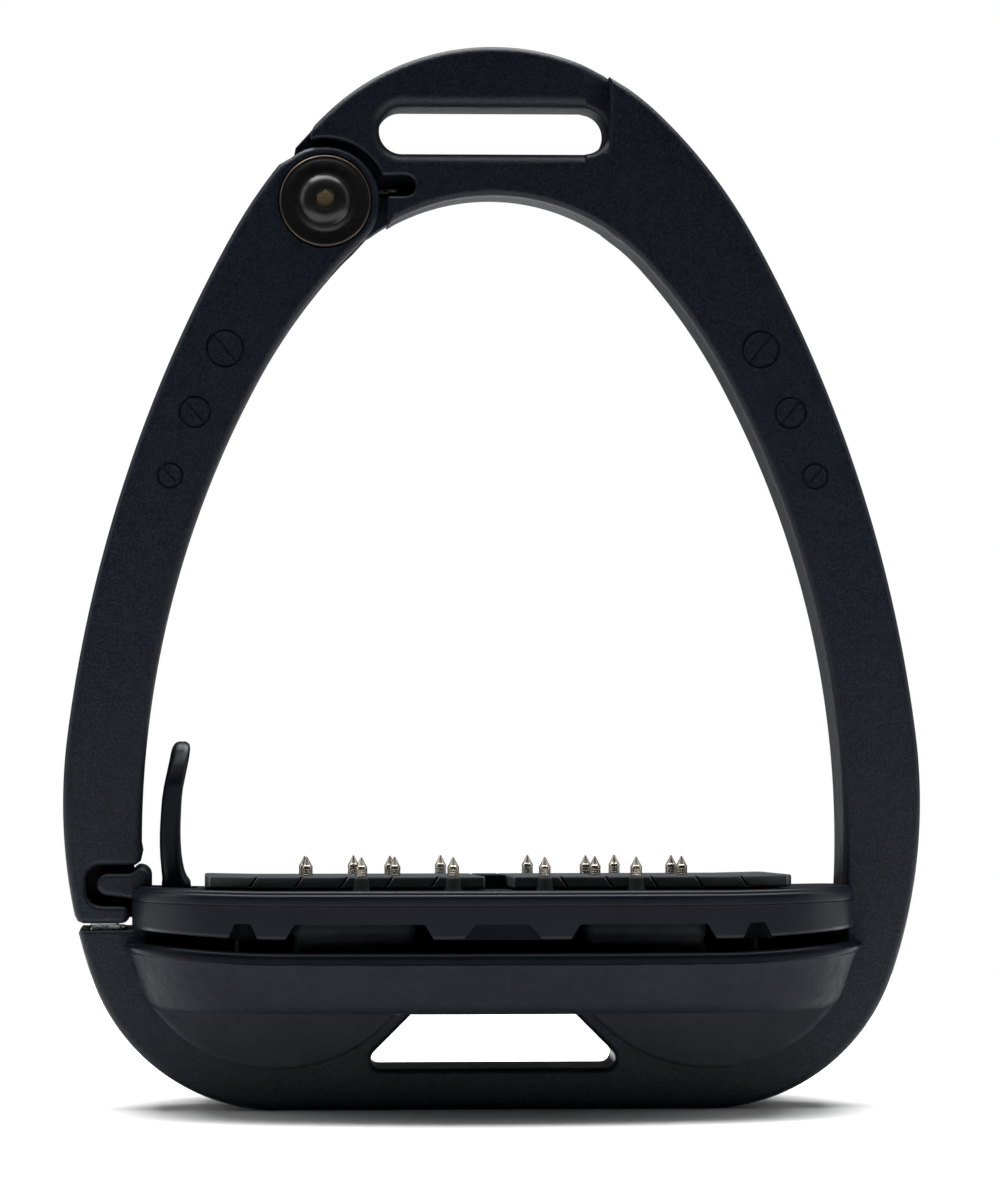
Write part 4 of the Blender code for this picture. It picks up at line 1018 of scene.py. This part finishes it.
def build_deck():
    """The tread plate, hollow below, with screw posts, keels and the lever's bracket."""
    outline = plan()
    profile = [(0.55, SKIRT_Z), (0.2, SKIRT_Z + 0.1), (0.04, SKIRT_Z + 0.35), (0, SKIRT_Z + 0.7)]
    profile += [(0, 35.25), (0.06, 35.32), (0.16, 35.38), (0.16, 35.5), (0.03, 35.58)]
    profile += [(-0.02, 35.7), (0, 36.5), (0.03, 36.8), (0.11, 37.05), (0.24, 37.25)]
    profile += [(0.42, 37.36), (0.6, 37.4)]
    profile += [(0.64, 37.52), (0.72, 37.7), (0.86, 37.86), (1.05, 37.96), (1.4, DECK_TOP)]
    deck = pitched(loft("tread_plate", outline, profile, grid=3.0))
    inside = [(WALL, SKIRT_Z - 3), (WALL, DECK_FLOOR - 1), (WALL + 1, DECK_FLOOR)]
    cut(deck, pitched(loft("hollow", outline, inside)))
    top = DECK_FLOOR + 1
    posts = [pitched(rod("post", POST_R, at, 29.4, top, "z", n=32)) for at in SCREWS]
    px, pz = LEVER_PIN
    for sy in (-1, 1):
        sides = sorted((sy * (SPINE_HALF + 0.5), sy * (SPINE_HALF + 2.1)))
        posts.append(pitched(box("keel", -60, 60, *sides, SEAT_Z + TRAVEL + GAP, top)))
        corners = rectangle(px - 3, px + 3, pz - 2.8, DECK_FLOOR + 2)
        loop = rounded(corners, [1.5, 1.5, 0, 0], 8)
        ends = sorted((sy * 9.0, sy * 11.8))
        posts.append(slab("bracket", [(loop, 0.0)], *ends))
    rib = box("rib", -RIB_HALF, RIB_HALF, RIB_Y, PAD_Y, DECK_TOP - 1, PAD_Z1)
    add(deck, *posts, pitched(rib))
    slot = ARM_SLOT_HALF
    tools = [
        box("arm_way", -80, LEVER_SLOT_X, -slot, slot, 20, 60),
        box("right_way", inner[-1][0] - 0.6, 80, -slot, slot, 20, 60),
        rod("pin_way", PIN_WAY_R, LEVER_PIN, -11.2, 11.2, "y"),
    ]
    tools += [pitched(rod("insert_way", 3.4, at, 28, 35.4, "z", n=24)) for at in SCREWS]
    ways = []
    for sx in (-1, 1):
        for x, y in STUDS:
            for sy in (-1, 1):
                at = (sx * x, sy * y)
                ways.append(pitched(rod("stud_way", STUD_R + GAP, at, 36.2, 45, "z", n=16)))
    cut(deck, *skirt_cutters(), *tools, joined("stud_ways", ways))
    settle(deck, "foot_rest", "satin_plastic", "deck")
    deck.data.materials.append(FINISHES["moulded_inside"])
    # Painted shade: the hollow's floor, the recesses behind the notches and the posts get the
    # darker low-specular copy of the plastic.
    for face in deck.data.polygons:
        x, y, z = face.center / MM
        low = abs(x) < PAINTED_SHADE_X and z + PITCH * y < DECK_FLOOR + 0.5
        if low and abs(y) < skirt_face(x) - 0.7:
            face.material_index = 1


def sipe(sx, x, sy):
    """A slanted slit across the front or back half of a pad, opening out at the pad's face."""
    slant, lean, thin = 0.16, 0.85, 0.1
    verts = []
    for y, half in ((0.01, thin), (PAD_Y - 0.55, thin), (PAD_Y + 0.6, 0.75)):
        for z, dx in ((PAD_Z0 + 0.15, lean), (PAD_Z1 + 0.5, -lean)):
            cx = sx * (x + slant * y + dx)
            verts += [(cx - half, sy * y, z), (cx + half, sy * y, z)]
    faces = [(0, 1, 3, 2), (8, 10, 11, 9)]
    for k in (0, 4):
        sides = [(0, 4, 5, 1), (2, 3, 7, 6), (0, 2, 6, 4), (1, 5, 7, 3)]
        faces += [tuple(k + j for j in side) for side in sides]
    return make("sipe", verts, faces)


def pad_outline(sx):
    """A long pad with a straight inner side and blunted outer corners."""
    half = [(PAD_X0, -PAD_Y), (PAD_X1 - 0.8, -PAD_Y), (PAD_X1, -PAD_Y + 1.6)]
    half = [(sx * x, y) for x, y in half]
    return rounded(turned(half + [(x, -y) for x, y in half[::-1]]), 0.5, 4)


def build_pads():
    """Rubber pads. The studs nearest the front and back edges stand in moulded bosses."""
    r = BOSS_R - 0.3
    boss = [(0, DECK_TOP), (r + 0.1, DECK_TOP), (r, PAD_Z1 - 0.5), (r - 0.1, PAD_Z1 - 0.25)]
    boss += [(r - 0.3, PAD_Z1 - 0.1), (0, PAD_Z1 - 0.08)]
    rows = math.ceil((PAD_X1 - PAD_X0 - 9.2) / SIPE_PITCH)
    for side, sx in (("left", -1), ("right", 1)):
        pad = slab(f"{side}_tread_pad", [(pad_outline(sx), 0.4)], PAD_Z0, PAD_Z1, "z", 4, 3.0)
        sipes, bosses, ways = [], [], []
        for sy in (-1, 1):
            for k in range(rows):
                sipes.append(sipe(sx, PAD_X0 + 4.2 + k * SIPE_PITCH, sy))
            for x, y in STUDS:
                at = (sx * x, sy * y)
                ways.append(rod("pad_way", STUD_R + 0.12, at, 30, 50, "z", n=20))
                if y > 20:
                    bosses.append(revolve("boss", boss, at, "z", n=32))
        cut(pad, *sipes)
        add(pad, *bosses)
        pitched(cut(pad, joined("pad_ways", ways)))
        settle(pad, "foot_rest", "pad_rubber", f"{side}_grip_pad")
        pad.data.materials.append(FINISHES["cut_rubber"])
        # Painted highlight: the slanted walls where each sipe opens at the pad's face get the much
        # lighter rubber.
        for face in pad.data.polygons:
            if 0.3 < abs(face.normal.x) < 0.98 and PAD_Y - 0.7 < abs(face.center.y) / MM < PAD_Y:
                face.material_index = 1


def side_names(sx, sy):
    return ("left" if sx < 0 else "right") + ("_front" if sy < 0 else "_rear")


def build_studs():
    """Grooved studs with conical tips."""
    r = STUD_R
    shape = [(0, 36.5), (r, 36.5)]
    for z in (40.7, 41.1, 41.5):
        shape += [(r, z - 0.05), (r * 0.955, z), (r, z + 0.05)]
    shape += [(r, 42.0), (r * 0.97, 42.08), (r * 0.88, 42.16), (r * 0.8, 42.3)]
    shape += [(r * 0.42, 43.05), (r * 0.14, STUD_TIP - 0.06), (0, STUD_TIP)]
    for sx, sy in CORNERS:
        for k, (x, y) in enumerate(STUDS):
            node = f"stud_{side_names(sx, sy)}_{k + 1}"
            stud = pitched(revolve(f"grip_{node}", shape, (sx * x, sy * y), "z", n=28))
            settle(stud, "foot_rest", "stud_steel", node)


def build_cushions():
    """Elastomer blocks under the tread plate, bulging in two rings."""
    cx, cy, w, d = CUSHION
    z0, z1 = TRAY_FLOOR + GAP + 1.0, DECK_FLOOR - GAP
    height = z1 - z0
    waist = []
    for k in range(25):
        t = k / 24
        bulge = 0.35 * math.sin(2 * math.pi * t * 2) ** 2 + (1 - abs(2 * t - 1)) * 0.5
        edge = 0.4 * max(0.0, 1 - min(t, 1 - t) / 0.04) ** 2
        waist.append((bulge + edge, z0 + height * t))
    for sx, sy in CORNERS:
        x, y = sx * cx, sy * cy
        loop = rounded(rectangle(x - w / 2, x + w / 2, y - d / 2, y + d / 2), 2.0, 8)
        corner = side_names(sx, sy)
        block = pitched(loft(f"spring_block_{corner}", loop, waist))
        settle(block, "frame", "elastomer", f"cushion_{corner}")
        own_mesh(block)


def build_lever():
    """The thumb lever on its pin, lofted through level outlines, and its spring."""
    px, pz = LEVER_PIN
    levels = [  # height, centre x, half thickness, half width
        (35.2, -55.0, 1.5, 5.4), (37.4, -55.0, 1.6, 6.0), (38.2, -54.9, 2.3, 7.5),
        (38.45, -54.9, 2.5, 7.6), (39.1, -54.95, 2.5, 7.6), (39.5, -55.05, 2.4, 7.6),
        (40.2, -55.25, 2.1, 7.6), (41.2, -55.5, 1.95, 7.6), (42.5, -55.7, 1.87, 7.6),
        (44, -55.87, 1.83, 7.6), (46, -55.98, 1.8, 7.6), (48, -56.0, 1.78, 7.6),
        (50, -55.93, 1.76, 7.6), (52, -55.82, 1.74, 7.6), (54, -55.68, 1.72, 7.6),
        (56, -55.4, 1.7, 7.6), (57.2, -55.16, 1.7, 7.55), (57.7, -55.05, 1.7, 7.35),
        (58.6, -54.86, 1.69, 6.9), (59.6, -54.64, 1.68, 6.35), (60.6, -54.44, 1.68, 5.7),
        (61.6, -54.26, 1.66, 4.85), (62.4, -54.12, 1.6, 4.0), (63.1, -54.0, 1.4, 2.9),
        (63.5, -53.95, 1.1, 2.0), (63.75, -53.92, 0.6, 1.0),
    ]
    rings = []
    for z, cx, tx, wy in levels:
        loop = rounded(rectangle(cx - tx, cx + tx, -wy, wy), min(tx, wy) * 0.7, 8)
        rings.append([(*p, z) for p in loop])
    lever = skin("thumb_lever", [rings], "z")
    hub = rod("hub", 2.7, LEVER_PIN, -HUB_HALF, HUB_HALF, "y")
    stem = box("stem", px - 1.5, px + 1.5, -HUB_HALF, HUB_HALF, pz, 36.0)
    add(lever, hub, stem)
    cut(lever, rod("hub_bore", PIN_WAY_R, LEVER_PIN, -10, 10, "y"))
    settle(lever, "release_lever", "satin_plastic", "release_lever")
    path = coil(LEVER_PIN, 2.1, 6.0, 7.9, 0, 720, 80)
    settle(wire("tilt_spring", path, 0.28, 10), "foot_rest", "plain_steel", "lever_spring")


# ---- pieces

slot_of = {part["node"]: part["material_slot"] for part in frame["record"]["subparts"]}
for name, obj in frame["nodes"].items():
    obj.data.materials.clear()
    obj.data.materials.append(FINISHES[slot_of[name]])

build_frame()
build_arm()
build_pivot()
build_carrier()
build_deck()
build_pads()
build_studs()
build_cushions()
build_lever()


# ---- camera, floor and light

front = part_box("frame")[0].y
TURN = math.radians(-3.0)
DISTANCE, VIEW_HEIGHT, SENSOR = 0.98, 0.208, 36.0
back = Vector((math.sin(TURN), -math.cos(TURN), 0.0))
aim = Vector((1.2 * MM, front, 88.4 * MM))
camera = shown("camera", bpy.data.cameras.new("camera"))
camera.data.sensor_width = SENSOR
camera.data.lens = SENSOR * DISTANCE / VIEW_HEIGHT
camera.data.clip_start = 0.05
camera.data.clip_end = 40.0
camera.location = aim + back * DISTANCE
camera.rotation_mode = "QUATERNION"
camera.rotation_quaternion = (-back).to_track_quat("-Z", "Y")
scene.camera = camera


def ground(radius=0.36, n=96):
    """A pale round floor."""
    mesh = bpy.data.meshes.new("floor")
    turn = [2 * math.pi * k / n for k in range(n)]
    ring = [(radius * math.cos(a), radius * math.sin(a), 0) for a in turn]
    mesh.from_pydata(ring, [], [tuple(range(n))])
    obj = shown("floor", mesh)
    f = Finish("floor", specular=0.1)
    colour = f.ramp(f.noise(120.0, 2.0), (0.92, 0.92, 0.92), (0.94, 0.94, 0.94))
    mesh.materials.append(f.done(colour, f.spread(f.noise(60.0, 2.0), 0.7, 0.8)))
    obj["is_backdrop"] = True


def lamp(name, at, to, size, power):
    """A rectangular lamp. Places and sizes are in metres, power is in watts."""
    data = bpy.data.lights.new(name, "AREA")
    data.shape = "RECTANGLE"
    data.size, data.size_y = size
    data.energy = power
    obj = shown(name, data)
    obj.location = at
    obj.rotation_mode = "QUATERNION"
    obj.rotation_quaternion = (Vector(to) - Vector(at)).to_track_quat("-Z", "Y")


def studio_world():
    """White to the camera. What lights the object is dim in front, bright beside and above."""
    world = bpy.data.worlds.new("studio")
    scene.world = world
    world.use_nodes = True
    new, link = world.node_tree.nodes.new, world.node_tree.links.new
    world.node_tree.nodes.clear()
    seen, lit = new("ShaderNodeBackground"), new("ShaderNodeBackground")
    seen.inputs["Color"].default_value = (1.0, 1.0, 1.0, 1)
    split, along = new("ShaderNodeSeparateXYZ"), new("ShaderNodeMapRange")
    link(new("ShaderNodeTexCoord").outputs["Generated"], split.inputs[0])
    along.inputs["From Min"].default_value = -1.0
    link(split.outputs["Y"], along.inputs["Value"])
    ramp = new("ShaderNodeValToRGB")
    levels = [(0.0, 0.012), (0.28, 0.03), (0.42, 0.8), (0.56, 0.8), (0.74, 0.1), (1.0, 0.05)]
    set_stops(ramp, [(at, (level, level, level)) for at, level in levels])
    link(along.outputs["Result"], ramp.inputs["Fac"])
    link(ramp.outputs["Color"], lit.inputs["Color"])
    mixed = new("ShaderNodeMixShader")
    link(new("ShaderNodeLightPath").outputs["Is Camera Ray"], mixed.inputs["Fac"])
    link(lit.outputs[0], mixed.inputs[1])
    link(seen.outputs[0], mixed.inputs[2])
    link(mixed.outputs[0], new("ShaderNodeOutputWorld").inputs["Surface"])


ground()
lamp("top", (0, 0.25, 1.3), (0, 0.15, 0.0), (1.6, 1.2), 60)
lamp("left", (-1.2, 0.1, 0.6), (0, 0, 0.09), (0.6, 1.0), 3)
lamp("right", (1.2, 0.1, 0.6), (0, 0, 0.09), (0.6, 1.0), 2)
studio_world()

scene.view_settings.view_transform = "Standard"
scene.view_settings.look = "None"

sizes = {"cad": box_of_cad, "looks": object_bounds()}
sizes = {name: [list(map(float, corner)) for corner in box] for name, box in sizes.items()}
